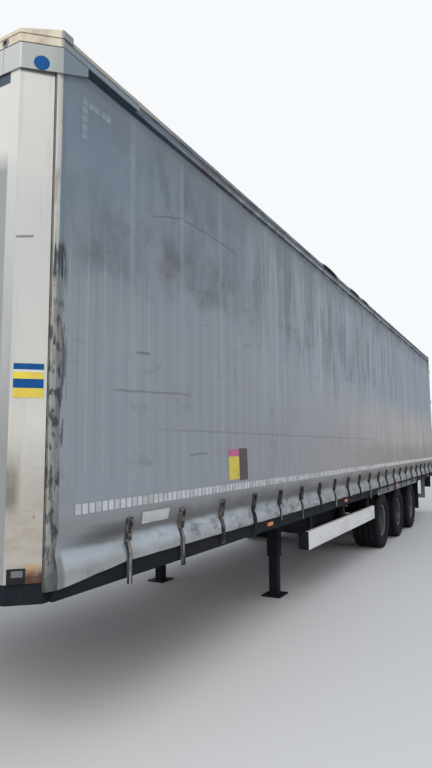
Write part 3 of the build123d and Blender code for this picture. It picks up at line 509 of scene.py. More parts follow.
@dataclass(frozen=True)
class Finish:
    """A finish: its base colour, the marks over it, its gloss and its relief."""

    name: str
    base: Colour
    roughness: float = 0.6
    metallic: float = 0.0
    marks: tuple[Layer | Coat | Bands | Crease, ...] = ()
    fine_scale: float = 300.0
    fine: float = 0.3
    broad_scale: float = 4.0
    broad: float = 1.0
    relief: float = 0.002
    coat: float = 0.0
    gloss: float = 0.4

    def build(self, groups: EffectGroups) -> bpy.types.Material:
        """Make the material.

        Args:
            groups: the shared effect groups.

        Returns:
            The finished material.
        """
        material = bpy.data.materials.new(self.name)
        material.use_nodes = True
        kit = NodeKit(material.node_tree)
        shader = shader_of(kit.tree, "BSDF_PRINCIPLED")
        colour: object = (*self.base, 1.0)
        wear_and_painted_light: object = None
        for mark in self.marks:
            mask = kit.maths("MULTIPLY", mark.pattern(kit, groups), mark.strength)
            if mark.window is not None:
                mask = kit.maths("MULTIPLY", mask, mark.window.mask(kit, groups))
            colour = kit.blend(mask, colour, (*mark.colour, 1.0))
            # Layers are dirt and wear, and some are painted light or shade; each one makes the surface
            # rougher
            if isinstance(mark, Layer):
                wear_and_painted_light = mask if wear_and_painted_light is None else kit.maths("MAXIMUM", wear_and_painted_light, mask)
        kit.fill(shader.inputs["Base Color"], colour)
        shader.inputs["Metallic"].default_value = self.metallic
        shader.inputs["Coat Weight"].default_value = self.coat
        shader.inputs["Specular IOR Level"].default_value = self.gloss
        if wear_and_painted_light is None:
            shader.inputs["Roughness"].default_value = self.roughness
        else:
            worn = kit.maths("MULTIPLY_ADD", wear_and_painted_light, WEAR_ROUGHNESS, self.roughness, clamp=True)
            kit.fill(shader.inputs["Roughness"], worn)
        grain = kit.add("Group", {"node_tree": groups.grain}, Fine_Scale=self.fine_scale, Fine=self.fine,
                        Broad_Scale=self.broad_scale, Broad=self.broad)
        bump = kit.add("Bump", Height=grain.outputs[0], Strength=BUMP_STRENGTH, Distance=self.relief)
        kit.fill(shader.inputs["Normal"], bump.outputs[0])
        return material


RUST = (0.20, 0.065, 0.02)
STRAP_PITCH = 0.597
STRAP_FIRST = 0.793
SEAM_FIRST = 0.806
WAIST = 1.165
# The level behind the tape where the curtain's two finishes meet
FINISH_BORDER = 1.360

# How the marks below list their values, each after its colour:
# - Coat: strength
# - Layer: strength, scale across and upward, the cloud's low and high limit, detail
# - Bands: pitch, start, width, softness, strength, unevenness
# - Crease: start and end as station and level, width, wave, strength

# Parts of a piece that several of its marks share
SEAM_ZONE = Window(x=behind(0.45, 0.50), z=above(1.395, 1.42))
RIB_ZONE = Window(x=before(3.2, 5.5), z=(1.40, 1.45, 2.70, 2.95), wobble=0.25)
HEM_ZONE = Window(z=below(WAIST - 0.030, WAIST + 0.005), wobble=0.03)
FIRST_BAY = Window(x=before(0.776, 0.790))
POLE_FACE = Window(x=before(0.174, 0.178), y=outside(1.2425, 1.2440), wobble=0.004)
PILLAR_FOOT = Window(x=before(0.175, 0.180), y=outside(1.150, 1.172))
CAP_STRIP = Window(x=behind(0.170, 0.180), y=outside(1.255, 1.258), z=below(3.934, 3.936))
BAND_FRONT = Window(x=before(0.0065, 0.0075))

# Marks that run over the curtain's whole height, so both of its finishes have them
FRONT_FADE = Layer((0.285, 0.330, 0.378), 0.6, 0.6, 0.5, 0.30, 0.70, 3.0, window=Window(x=before(0.7, 2.6)))
REAR_DUST = Layer((0.560, 0.505, 0.480), 0.85, 1.2, 0.4, 0.05, 0.40, 4.0,
                  window=Window(x=behind(3.0, 9.0), z=below(2.1, 2.6), wobble=0.30))
LOW_DUST = Layer((0.370, 0.340, 0.315), 0.8, 0.6, 0.8, 0.05, 0.35, 3.0,
                 window=Window(x=behind(3.2, 7.0), z=below(1.60, 1.80), wobble=0.10))
REAR_STREAKS = Layer((0.255, 0.265, 0.290), 0.35, 3.0, 0.35, 0.50, 0.68, 5.0, shift=31.0,
                     window=Window(x=behind(4.0, 7.0)))
FRONT_STAINS = Layer((0.190, 0.198, 0.215), 0.40, 4.0, 2.2, 0.56, 0.74, 6.0, shift=9.0,
                     window=Window(x=before(3.0, 6.0)))

CURTAIN = Finish(
    "curtain_cloth", (0.292, 0.305, 0.333), roughness=0.62, fine_scale=900.0, fine=0.1, broad_scale=2.6,
    broad=1.0, relief=0.010, gloss=0.3,
    marks=(
        # broad fields of colour
        Layer((0.128, 0.185, 0.235), 0.92, 0.5, 0.5, 0.10, 0.50, 3.0,
              window=Window(x=before(0.5, 4.2), z=above(2.35, 3.55), wobble=0.30)),
        FRONT_FADE,
        Layer((0.415, 0.465, 0.520), 0.85, 1.6, 0.2, 0.20, 0.55, 3.0,
              window=Window(x=behind(1.6, 5.5), z=above(1.7, 2.5), wobble=0.35)),
        REAR_DUST,
        LOW_DUST,
        # upright streaks
        Layer((0.205, 0.250, 0.300), 0.45, 6.0, 0.45, 0.46, 0.68, 5.0, shift=3.0,
              window=Window(x=behind(1.5, 4.0), z=above(2.0, 2.8), wobble=0.5)),
        REAR_STREAKS,
        Layer((0.560, 0.600, 0.620), 0.60, 13.0, 0.30, 0.54, 0.70, 5.0, shift=8.0,
              window=Window(x=behind(2.2, 6.5), z=above(1.9, 2.5), wobble=0.5)),
        Layer((0.700, 0.640, 0.590), 0.60, 9.0, 0.55, 0.50, 0.70, 5.0, shift=14.0,
              window=Window(x=behind(5.5, 9.0), z=(1.45, 1.70, 2.15, 2.6), wobble=0.2)),
        # dark patches high up near the front
        Layer((0.125, 0.152, 0.180), 0.60, 1.9, 1.1, 0.46, 0.62, 5.0, shift=4.0,
              window=Window(x=before(1.7, 3.0), z=above(2.72, 2.98), wobble=0.30)),
        Layer((0.150, 0.178, 0.205), 0.45, 4.2, 2.0, 0.50, 0.64, 6.0, shift=17.0,
              window=Window(x=before(2.0, 3.6), z=above(2.60, 2.90), wobble=0.30)),
        Layer((0.118, 0.112, 0.118), 0.65, 2.6, 2.8, 0.44, 0.60, 5.0, shift=9.0,
              window=Window(x=stations(0.3, 0.5, 2.2, 2.9), z=(2.70, 2.86, 3.02, 3.25), wobble=0.15)),
        Layer((0.118, 0.112, 0.118), 0.55, 3.4, 1.6, 0.46, 0.60, 5.0, shift=23.0,
              window=Window(x=stations(0.9, 1.05, 1.5, 2.0), z=(3.10, 3.30, 3.80, 3.90), wobble=0.10)),
        # seams of the cloth and the ribs between them
        Bands((0.330, 0.355, 0.385), STRAP_PITCH, at(SEAM_FIRST), 0.030, 0.010, 0.42, 0.45,
              window=SEAM_ZONE),
        Bands((0.385, 0.410, 0.440), STRAP_PITCH, at(SEAM_FIRST) + 0.022, 0.004, 0.006, 0.40, 0.6,
              window=SEAM_ZONE),
        Bands((0.345, 0.370, 0.395), 0.1493, at(0.406), 0.010, 0.007, 0.65, 0.80,
              window=RIB_ZONE),
        Bands((0.190, 0.200, 0.220), 0.1493, at(0.330), 0.006, 0.010, 0.40, 0.85,
              window=RIB_ZONE),
        # stains and a few paler streaks
        Layer((0.375, 0.380, 0.390), 0.40, 12.0, 0.35, 0.55, 0.75, 5.0, shift=2.0,
              window=Window(x=before(4.0, 7.0), z=(1.40, 1.5, 2.6, 3.0), wobble=0.2)),
        FRONT_STAINS,
        Layer((0.165, 0.178, 0.195), 0.60, 3.4, 0.9, 0.46, 0.62, 6.0, shift=44.0,
              window=Window(x=stations(1.8, 2.4, 6.0, 8.0), z=above(2.45, 2.95), wobble=0.4)),
        Layer((0.175, 0.185, 0.198), 0.50, 9.0, 1.6, 0.48, 0.62, 6.0, shift=51.0,
              window=Window(x=stations(2.4, 3.2, 8.0, 10.0), z=above(2.2, 2.8), wobble=0.4)),
        Layer((0.440, 0.495, 0.540), 0.50, 12.0, 0.22, 0.56, 0.70, 4.0, shift=37.0,
              window=Window(x=behind(1.8, 3.0), z=above(1.8, 2.5), wobble=0.4)),
        # painted shade on the strip under the roof, and at the top corner at the rear
        Layer((0.200, 0.215, 0.235), 0.65, 3.0, 1.0, 0.20, 0.55, 5.0, shift=61.0,
              window=Window(z=above(3.52, 3.80), wobble=0.12)),
        Coat((0.110, 0.135, 0.160), 0.60, Window(z=above(3.77, 3.83), wobble=0.04)),
        Coat((0.035, 0.045, 0.055), 0.90, Window(x=behind(13.44, 13.48), z=above(3.72, 3.75))),
        # scuffs; dark lines of painted shade in the creases, a seam line at 1.8 m, and a pale upright line at
        # 6.7 m that is a painted highlight
        Layer((0.150, 0.146, 0.150), 0.50, 30.0, 1.6, 0.60, 0.72, 5.0, shift=27.0,
              window=Window(x=behind(2.0, 4.0), z=(1.42, 1.50, 1.9, 2.2))),
        Layer((0.120, 0.125, 0.140), 0.45, 2.2, 9.0, 0.60, 0.74, 5.0, shift=21.0,
              window=Window(x=before(5.0, 8.0), z=(1.45, 1.55, 2.9, 3.3))),
        Crease((0.085, 0.095, 0.115), (1.03, 3.24), (1.42, 3.37), 0.010, 0.03, 0.50),
        Crease((0.085, 0.095, 0.115), (1.40, 3.37), (2.35, 3.36), 0.010, 0.05, 0.55),
        Crease((0.120, 0.125, 0.135), (0.62, 2.02), (1.55, 2.06), 0.010, 0.03, 0.50),
        Crease((0.160, 0.165, 0.175), (0.90, 1.80), (7.40, 1.78), 0.010, 0.02, 0.40),
        Crease((0.100, 0.110, 0.130), (0.86, 2.28), (1.02, 2.29), 0.012, 0.02, 0.60),
        Crease((0.130, 0.135, 0.150), (1.50, 1.62), (1.78, 1.63), 0.010, 0.02, 0.50),
        Crease((0.620, 0.600, 0.570), (6.70, 1.83), (6.78, 2.18), 0.150, 0.00, 0.45),
        # grime beside the front pole
        Layer((0.045, 0.052, 0.062), 0.85, 60.0, 5.0, 0.47, 0.53, 5.0, shift=12.0,
              window=Window(x=before(0.215, 0.256), z=(2.52, 2.62, 2.74, 2.82))),
        Layer((0.045, 0.050, 0.058), 0.80, 60.0, 5.0, 0.50, 0.57, 5.0, shift=18.0,
              window=Window(x=before(0.225, 0.262), z=(1.50, 1.75, 2.45, 2.58))),
    ),
)
CURTAIN_HEM = replace(
    CURTAIN, name="curtain_hem_cloth",
    marks=(
        FRONT_FADE,
        REAR_DUST,
        LOW_DUST,
        REAR_STREAKS,
        FRONT_STAINS,
        # dust above the waist and shade along it
        Layer((0.250, 0.248, 0.245), 0.60, 1.2, 1.0, 0.05, 0.30, 3.0,
              window=Window(z=(WAIST, WAIST + 0.08, 1.285, 1.355), wobble=0.02)),
        Layer((0.130, 0.127, 0.124), 0.55, 2.2, 3.0, 0.38, 0.60, 5.0, shift=14.0,
              window=Window(x=behind(0.9, 1.6), z=(WAIST - 0.01, WAIST + 0.04, WAIST + 0.10, WAIST + 0.16),
                            wobble=0.03)),
        Layer((0.135, 0.133, 0.132), 0.80, 1.1, 1.5, 0.10, 0.50, 4.0, shift=5.0,
              window=Window(x=behind(0.32, 0.66),
                            z=(WAIST - 0.030, WAIST + 0.012, WAIST + 0.040, WAIST + 0.110), wobble=0.03)),
        # the paler cloth below it, painted light where it flares out and faces up
        Layer((0.435, 0.480, 0.520), 0.90, 1.5, 2.0, 0.02, 0.25, 4.0, shift=2.0,
              window=replace(HEM_ZONE, x=before(1.3, 4.0))),
        Layer((0.335, 0.350, 0.370), 0.90, 1.5, 2.0, 0.02, 0.25, 4.0, shift=2.0,
              window=replace(HEM_ZONE, x=behind(1.4, 4.0))),
        # painted shade in two creases in front of the first strap
        Crease((0.125, 0.126, 0.128), (0.22, 1.185), (0.92, 1.158), 0.050, 0.03, 0.75, fade=0.34,
               window=FIRST_BAY),
        Crease((0.085, 0.085, 0.088), (0.38, 1.225), (0.96, 1.190), 0.050, 0.04, 0.60, fade=0.36,
               window=FIRST_BAY),
        # pale and dark mottling, and dirt towards the hem
        Layer((0.540, 0.555, 0.560), 0.55, 5.0, 14.0, 0.52, 0.62, 6.0, shift=3.0,
              window=Window(x=behind(0.6, 1.4), z=below(WAIST - 0.04, WAIST))),
        Layer((0.600, 0.620, 0.620), 0.45, 15.0, 30.0, 0.56, 0.66, 6.0, shift=71.0,
              window=Window(x=behind(0.80, 1.10), z=below(WAIST - 0.05, WAIST - 0.01))),
        Layer((0.160, 0.160, 0.165), 0.50, 13.0, 24.0, 0.56, 0.68, 6.0, shift=77.0,
              window=Window(x=behind(0.75, 1.20), z=below(WAIST - 0.03, WAIST + 0.01))),
        Layer((0.110, 0.108, 0.108), 0.60, 6.0, 11.0, 0.50, 0.64, 6.0, shift=6.0,
              window=Window(x=behind(0.7, 1.6), z=below(WAIST - 0.02, WAIST + 0.01))),
        Layer((0.285, 0.275, 0.262), 0.75, 1.6, 3.0, 0.25, 0.50, 5.0, shift=16.0,
              window=Window(x=before(1.2, 2.6), z=below(1.035, 1.085), wobble=0.02)),
        Layer((0.055, 0.052, 0.050), 0.75, 9.0, 16.0, 0.52, 0.64, 6.0, shift=7.0,
              window=Window(z=below(1.000, 1.035))),
        Layer((0.150, 0.160, 0.155), 0.75, 3.0, 3.0, 0.10, 0.40, 4.0,
              window=Window(x=before(0.240, 0.262), z=below(1.10, 1.17), wobble=0.02)),
    ),
)
CURTAIN_EDGE = Finish(
    "curtain_edge", (0.150, 0.195, 0.240), roughness=0.6, fine_scale=600.0, broad_scale=9.0, relief=0.006,
    gloss=0.3,
    marks=(
        Coat((0.235, 0.245, 0.245), 0.9, Window(z=below(2.2, 3.0), wobble=0.1)),
        Layer((0.120, 0.130, 0.130), 0.75, 9.0, 3.0, 0.40, 0.60, 6.0, window=Window(z=below(2.3, 3.0))),
        # painted shade: the inner part of the wrapped edge, in the gap beside the pillar
        Coat((0.120, 0.110, 0.100), 0.85, Window(y=inside(1.2425, 1.2435))),
        Coat((0.520, 0.500, 0.460), 0.95, replace(POLE_FACE, z=above(1.6, 3.0))),
        Coat((0.300, 0.305, 0.290), 0.85, replace(POLE_FACE, z=below(1.6, 3.0))),
        Layer((0.180, 0.165, 0.150), 0.60, 30.0, 5.0, 0.50, 0.62, 6.0, shift=2.0),
        Layer((0.025, 0.028, 0.032), 0.90, 26.0, 2.0, 0.44, 0.52, 4.0, shift=12.0,
              window=Window(z=(2.55, 2.60, 2.76, 2.80))),
        Layer((0.030, 0.034, 0.036), 0.85, 24.0, 9.0, 0.50, 0.58, 5.0, shift=4.0,
              window=Window(z=below(2.3, 2.6), wobble=0.1)),
        Layer((0.050, 0.056, 0.054), 0.75, 4.0, 4.0, 0.20, 0.50, 4.0, window=Window(z=below(1.10, 1.20))),
    ),
)
ROOF_CLOTH = Finish(
    "roof_cloth", (0.235, 0.268, 0.310), roughness=0.8, relief=0.006, broad_scale=3.0, gloss=0.1,
    marks=(
        Coat((0.470, 0.420, 0.350), 0.85, Window(x=before(0.9, 1.6), z=below(3.975, 3.99))),
        Layer((0.080, 0.085, 0.095), 0.7, 2.0, 3.0, 0.42, 0.62, 6.0, window=Window(x=behind(0.8, 2.0))),
        Layer((0.360, 0.340, 0.310), 0.4, 6.0, 6.0, 0.55, 0.70, 5.0, shift=5.0),
        # painted shade on the loose folds: their tops, and their sides near the edges
        Coat((0.010, 0.012, 0.016), 0.95, Window(z=above(4.004, 4.010))),
        *(Coat((0.008, 0.012, 0.018), strength, Window(x=stations(*span), y=outside(*edge)))
          for strength, span, edge in (
              (1.0, (4.74, 4.82, 5.32, 5.44), (1.225, 1.240)),
              (0.9, (6.02, 6.12, 6.44, 6.56), (1.246, 1.250)),
              (0.8, (6.72, 6.80, 7.04, 7.14), (1.250, 1.254)),
          )),
        # painted shade at the rear end
        Coat((0.010, 0.012, 0.016), 0.90, Window(x=behind(13.40, 13.48))),
    ),
)
CREAM_PAINT = Finish(
    "cream_paint", (0.505, 0.494, 0.457), roughness=0.42, relief=0.0012, broad_scale=1.6, coat=0.15,
    marks=(
        Coat((0.520, 0.520, 0.480), 0.9, Window(z=above(3.30, 3.55), wobble=0.1)),
        Coat((0.438, 0.448, 0.438), 0.8, Window(z=(2.2, 2.7, 3.0, 3.3), wobble=0.2)),
        Coat((0.565, 0.540, 0.495), 0.7, Window(z=(1.60, 1.74, 1.86, 1.98), wobble=0.1)),
        Layer((0.385, 0.350, 0.305), 0.85, 2.0, 0.9, 0.20, 0.50, 5.0,
              window=Window(z=below(1.45, 1.85), wobble=0.1)),
        Layer((0.330, 0.285, 0.235), 0.7, 8.0, 14.0, 0.40, 0.62, 6.0, shift=3.0,
              window=Window(z=below(1.25, 1.60), wobble=0.1)),
        Layer((0.330, 0.310, 0.280), 0.40, 16.0, 0.8, 0.55, 0.72, 6.0, shift=7.0),
        Layer((0.230, 0.200, 0.170), 0.50, 7.0, 90.0, 0.60, 0.68, 5.0, shift=29.0,
              window=Window(z=below(1.45, 1.75), wobble=0.1)),
        Layer((0.160, 0.100, 0.060), 0.60, 34.0, 26.0, 0.62, 0.70, 5.0, shift=11.0,
              window=Window(z=below(1.30, 1.75))),
        Layer((0.110, 0.100, 0.090), 0.75, 6.0, 4.0, 0.20, 0.55, 4.0,
              window=Window(y=(1.070, 1.096, 1.122, 1.150), z=(1.34, 1.44, 1.56, 1.70), wobble=0.05)),
        Crease((0.110, 0.095, 0.080), (0.014, 2.790), (0.082, 2.800), 0.009, 0.01, 0.85),
        # painted shadow under the band, along the top of the cream parts
        Coat((0.115, 0.120, 0.118), 0.85, Window(z=above(3.718, 3.728))),
        Layer((0.440, 0.235, 0.050), 0.90, 26.0, 22.0, 0.44, 0.54, 6.0, shift=1.0,
              window=replace(PILLAR_FOOT, z=below(1.07, 1.12), wobble=0.02)),
        Layer((0.110, 0.032, 0.012), 0.92, 20.0, 20.0, 0.38, 0.52, 6.0, shift=5.0,
              window=replace(PILLAR_FOOT, y=outside(1.150, 1.175), z=below(1.05, 1.09), wobble=0.03)),
        Coat((0.060, 0.022, 0.012), 0.92,
             replace(PILLAR_FOOT, y=outside(1.150, 1.160), z=below(1.034, 1.046), wobble=0.05)),
        # painted shade on the rear corner posts, under the roof
        Coat((0.045, 0.055, 0.065), 0.9, Window(x=behind(13.50, 13.52), y=outside(1.235, 1.240),
                                                z=(3.70, 3.72, 3.895, 3.905))),
    ),
)
WALL_PAINT = Finish(
    "wall_paint", (0.262, 0.278, 0.268), roughness=0.5, relief=0.0012, broad_scale=1.6,
    marks=(
        Coat((0.580, 0.570, 0.530), 1.0, Window(z=above(3.18, 3.30), wobble=0.05)),
        Coat((0.560, 0.560, 0.530), 0.9, Window(y=outside(1.022, 1.028), z=above(1.5, 3.4), wobble=0.02)),
        Layer((0.200, 0.198, 0.185), 0.5, 3.0, 0.7, 0.45, 0.70, 5.0, window=Window(z=below(3.18, 3.30))),
        Layer((0.160, 0.150, 0.135), 0.5, 9.0, 6.0, 0.55, 0.70, 6.0, window=Window(z=below(1.2, 1.9))),
        # painted shadow at the top of the front wall, under the band
        Coat((0.035, 0.060, 0.075), 1.0, Window(y=inside(1.022, 1.028), z=above(3.672, 3.680))),
    ),
)
GUARD_PAINT = Finish(
    "guard_paint", (0.800, 0.785, 0.765), roughness=0.42, relief=0.0008, broad_scale=1.6, coat=0.15,
    marks=(
        Layer((0.400, 0.380, 0.350), 0.45, 2.0, 5.0, 0.48, 0.70, 5.0),
        Layer((0.270, 0.245, 0.215), 0.40, 5.0, 18.0, 0.55, 0.70, 6.0, shift=4.0,
              window=Window(z=below(0.59, 0.64))),
    ),
)
CAP_PAINT = Finish(
    "cap_paint", (0.585, 0.515, 0.405), roughness=0.55, relief=0.002, broad_scale=5.0,
    marks=(
        # painted shade: a dark line along the lower edge
        Coat((0.040, 0.036, 0.032), 0.9, Window(z=below(3.8880, 3.8892))),
        Layer((0.330, 0.255, 0.200), 0.70, 6.0, 5.0, 0.46, 0.64, 6.0),
        Layer((0.150, 0.105, 0.085), 0.6, 9.0, 14.0, 0.56, 0.70, 6.0, shift=4.0,
              window=Window(z=above(3.930, 3.945))),
        Layer((0.650, 0.570, 0.450), 0.4, 3.0, 2.0, 0.50, 0.70, 4.0, shift=8.0),
        # painted shade: the sides are darker and bluer than the front
        Coat((0.215, 0.225, 0.250), 0.9, Window(y=outside(1.262, 1.268))),
        Coat((0.205, 0.255, 0.290), 0.95, CAP_STRIP),
        Layer((0.140, 0.165, 0.185), 0.5, 3.0, 20.0, 0.50, 0.65, 5.0, shift=19.0, window=CAP_STRIP),
        # painted shade round the groove on the sides
        Coat((0.085, 0.095, 0.108), 0.9, Window(x=behind(0.150, 0.165), y=outside(1.255, 1.258),
                                                z=(3.924, 3.927, 3.947, 3.949))),
        # painted shade: a dark line along the lower edge
        Coat((0.030, 0.034, 0.038), 0.9, Window(z=below(3.8915, 3.8930))),
    ),
)
BAND_PAINT = Finish(
    "band_paint", (0.247, 0.272, 0.258), roughness=0.38, relief=0.0008, coat=0.2,
    marks=(
        # painted light and shade: the front face lighter and the side faces darker and bluer than the slanted
        # face
        Coat((0.440, 0.450, 0.430), 1.0, BAND_FRONT),
        Coat((0.150, 0.200, 0.240), 1.0, Window(y=outside(1.2725, 1.2740))),
        Coat((0.060, 0.060, 0.060), 0.8, replace(BAND_FRONT, y=(0.9725, 0.9735, 0.9765, 0.9775))),
        Layer((0.240, 0.250, 0.250), 0.35, 6.0, 2.5, 0.50, 0.70, 5.0),
        Layer((0.140, 0.130, 0.120), 0.35, 20.0, 12.0, 0.62, 0.72, 6.0, shift=6.0),
    ),
)
CHASSIS_PAINT = Finish(
    "chassis_paint", (0.010, 0.013, 0.018), roughness=0.7, relief=0.0012, gloss=0.12,
    marks=(
        Layer((0.030, 0.028, 0.026), 0.5, 3.0, 4.0, 0.48, 0.68, 6.0),
        Layer((0.090, 0.035, 0.014), 0.4, 9.0, 9.0, 0.62, 0.72, 6.0, shift=5.0),
    ),
)
GALVANISED = Finish(
    "galvanised_steel", (0.32, 0.33, 0.335), roughness=0.5, metallic=0.75, relief=0.0008, broad_scale=9.0,
    marks=(
        Layer((0.13, 0.12, 0.11), 0.6, 4.0, 5.0, 0.45, 0.66, 6.0),
        Layer((0.42, 0.43, 0.44), 0.35, 18.0, 18.0, 0.50, 0.60, 2.0, shift=7.0),
    ),
)
BARE_STEEL = Finish(
    "bare_steel", (0.23, 0.22, 0.21), roughness=0.42, metallic=0.85, relief=0.0008,
    marks=(
        Layer((0.07, 0.055, 0.045), 0.7, 10.0, 10.0, 0.45, 0.62, 6.0),
        Layer(RUST, 0.5, 16.0, 16.0, 0.58, 0.68, 6.0, shift=3.0),
    ),
)
RAIL_ALUMINIUM = Finish(
    "rail_aluminium", (0.125, 0.140, 0.165), roughness=0.5, metallic=0.3, relief=0.0006,
    marks=(
        Bands((0.080, 0.090, 0.110), 0.024, 0.0, 0.010, 0.004, 0.55, 0.3),
        Coat((0.095, 0.150, 0.205), 0.9, Window(z=below(3.905, 3.915))),
        Coat((0.330, 0.355, 0.395), 0.9, Window(x=behind(0.9, 2.6), z=below(3.905, 3.915))),
        Coat((0.012, 0.018, 0.026), 0.9, Window(x=before(2.5, 4.5), z=(3.8555, 3.8575, 3.8605, 3.8625))),
        Coat((0.012, 0.018, 0.026), 0.9, Window(x=before(2.5, 4.5), z=(3.8775, 3.8795, 3.8825, 3.8845))),
        Layer((0.115, 0.090, 0.085), 0.6, 3.0, 6.0, 0.46, 0.62, 6.0, shift=9.0,
              window=Window(x=behind(0.8, 1.4))),
        Layer((0.060, 0.076, 0.096), 0.5, 6.0, 20.0, 0.50, 0.65, 6.0, shift=3.0),
    ),
)
POLE_ALUMINIUM = Finish(
    "pole_aluminium", (0.52, 0.53, 0.52), roughness=0.45, metallic=0.15, relief=0.0006,
    marks=(Layer((0.16, 0.155, 0.15), 0.7, 20.0, 2.0, 0.46, 0.62, 5.0, window=Window(z=below(2.4, 3.2))),),
)
TIMBER = Finish(
    "floor_timber", (0.20, 0.115, 0.06), roughness=0.6, relief=0.002,
    marks=(
        Bands((0.10, 0.055, 0.03), 1.22, 0.0, 0.006, 0.002, 0.8),
        Layer((0.10, 0.075, 0.055), 0.7, 3.0, 3.0, 0.42, 0.66, 6.0),
        Layer((0.27, 0.19, 0.12), 0.4, 0.8, 1.0, 0.5, 0.7, 6.0, shift=4.0),
    ),
)
WEBBING = Finish(
    "webbing", (0.020, 0.021, 0.024), roughness=0.85, fine_scale=700.0, fine=1.0, broad=0.3, relief=0.0015,
    gloss=0.15,
    marks=(
        Coat((0.062, 0.064, 0.074), 0.9, Window(x=before(1.0, 1.1))),
        Coat((0.125, 0.118, 0.112), 0.8, Window(x=stations(1.2, 1.3, 2.2, 2.3))),
        Layer((0.105, 0.108, 0.114), 0.5, 5.0, 5.0, 0.48, 0.62, 6.0),
        Layer((0.012, 0.013, 0.016), 0.8, 16.0, 9.0, 0.48, 0.60, 5.0, shift=4.0),
    ),
)
BUCKLE_STEEL = Finish(
    "buckle_steel", (0.135, 0.128, 0.122), roughness=0.5, metallic=0.3, relief=0.0006, gloss=0.3,
    marks=(
        Layer((0.014, 0.012, 0.012), 0.9, 22.0, 22.0, 0.44, 0.58, 6.0),
        Coat((0.020, 0.019, 0.019), 0.75, Window(x=behind(2.2, 2.5))),
        Layer((0.280, 0.240, 0.200), 0.6, 45.0, 45.0, 0.56, 0.66, 4.0, shift=5.0,
              window=Window(x=before(2.2, 2.5))),
    ),
)
RUBBER = Finish(
    "black_rubber", (0.010, 0.011, 0.013), roughness=0.8, relief=0.0012, gloss=0.15,
    marks=(Layer((0.040, 0.038, 0.036), 0.5, 6.0, 7.0, 0.44, 0.66, 6.0),),
)
TYRE_RUBBER = Finish(
    "tyre_rubber", (0.013, 0.014, 0.017), roughness=0.85, fine_scale=160.0, fine=0.5, relief=0.0015,
    gloss=0.12,
    marks=(
        Layer((0.018, 0.018, 0.020), 0.6, 4.0, 5.0, 0.42, 0.68, 6.0),
        Layer((0.050, 0.046, 0.040), 0.45, 9.0, 9.0, 0.52, 0.70, 6.0, shift=3.0,
              window=Window(z=below(0.05, 0.40))),
    ),
)
RIM_PAINT = Finish(
    "rim_paint", (0.085, 0.088, 0.092), roughness=0.5, metallic=0.2, relief=0.0008,
    marks=(
        Coat((0.300, 0.305, 0.310), 0.8, Window(y=outside(1.198, 1.203))),
        Layer((0.040, 0.036, 0.032), 0.75, 7.0, 7.0, 0.40, 0.62, 6.0),
        Layer((0.120, 0.045, 0.018), 0.45, 22.0, 22.0, 0.58, 0.66, 6.0, shift=6.0),
    ),
)
BLACK_PLASTIC = Finish(
    "black_plastic", (0.010, 0.011, 0.013), roughness=0.6, relief=0.0010, gloss=0.2,
    marks=(Layer((0.040, 0.038, 0.036), 0.5, 5.0, 6.0, 0.42, 0.66, 6.0),),
)
PALE_PLASTIC = Finish(
    "pale_plastic", (0.20, 0.205, 0.215), roughness=0.55, relief=0.0015,
    marks=(Layer((0.07, 0.068, 0.066), 0.75, 6.0, 18.0, 0.42, 0.60, 6.0),),
)
AMBER_LENS = Finish("amber_lens", (0.80, 0.20, 0.03), roughness=0.2, relief=0.0004, coat=0.5,
                    marks=(Bands((0.50, 0.12, 0.01), 0.012, 0.0, 0.003, 0.001, 0.7),))
RED_LENS = Finish("red_lens", (0.42, 0.012, 0.012), roughness=0.22, relief=0.0004, coat=0.5,
                  marks=(Layer((0.16, 0.05, 0.04), 0.5, 9.0, 9.0, 0.5, 0.7, 5.0),))
CLEAR_LENS = Finish("clear_lens", (0.10, 0.11, 0.12), roughness=0.12, relief=0.0004, coat=0.8,
                    marks=(Layer((0.12, 0.13, 0.13), 0.6, 30.0, 30.0, 0.42, 0.6, 5.0),))
TAPE = Finish(
    "contour_tape", (0.575, 0.590, 0.612), roughness=0.4, relief=0.0004,
    marks=(
        # painted reflection: the tape further back is paler
        Coat((0.720, 0.700, 0.680), 0.8, Window(x=behind(3.5, 8.0))),
        Bands((0.400, 0.405, 0.410), 0.168, at(0.348), 0.050, 0.003, 0.5),
        Bands((0.200, 0.208, 0.225), 0.056, at(0.320), 0.010, 0.002, 0.9, window=Window(x=before(5.0, 9.0))),
        Layer((0.250, 0.245, 0.240), 0.55, 6.0, 14.0, 0.45, 0.66, 6.0),
    ),
)
FADED_TAPE = Finish(
    "faded_tape", (0.230, 0.285, 0.325), roughness=0.5, relief=0.0004,
    marks=(Layer((0.150, 0.200, 0.245), 0.6, 12.0, 12.0, 0.42, 0.64, 6.0),),
)


def film(name: str, base: Colour, roughness: float, worn: Colour, strength: float, upward: float) -> Finish:
    """Return the finish of a thin plate or film with worn patches."""
    patches = Layer(worn, strength, 9.0, upward, 0.45, 0.68, 6.0)
    return Finish(name, base, roughness=roughness, relief=0.0004, marks=(patches,))


WHITE_PLATE = film("white_plate", (0.56, 0.56, 0.55), 0.35, (0.36, 0.34, 0.31), 0.6, 14.0)
YELLOW_FILM = film("yellow_film", (0.68, 0.54, 0.05), 0.4, (0.42, 0.30, 0.08), 0.5, 9.0)
MAGENTA_FILM = film("magenta_film", (0.52, 0.09, 0.22), 0.4, (0.36, 0.12, 0.16), 0.5, 9.0)
BROWN_FILM = film("brown_film", (0.058, 0.040, 0.040), 0.45, (0.10, 0.085, 0.08), 0.5, 12.0)
BLUE_FILM = Finish("blue_film", (0.006, 0.070, 0.220), roughness=0.6, relief=0.0003, gloss=0.1,
                   marks=(Layer((0.03, 0.11, 0.25), 0.4, 12.0, 12.0, 0.5, 0.7, 5.0),))
CORD = Finish("worn_cord", (0.26, 0.25, 0.21), roughness=0.8, relief=0.0008,
              marks=(Layer((0.08, 0.075, 0.07), 0.7, 30.0, 30.0, 0.45, 0.6, 4.0),))

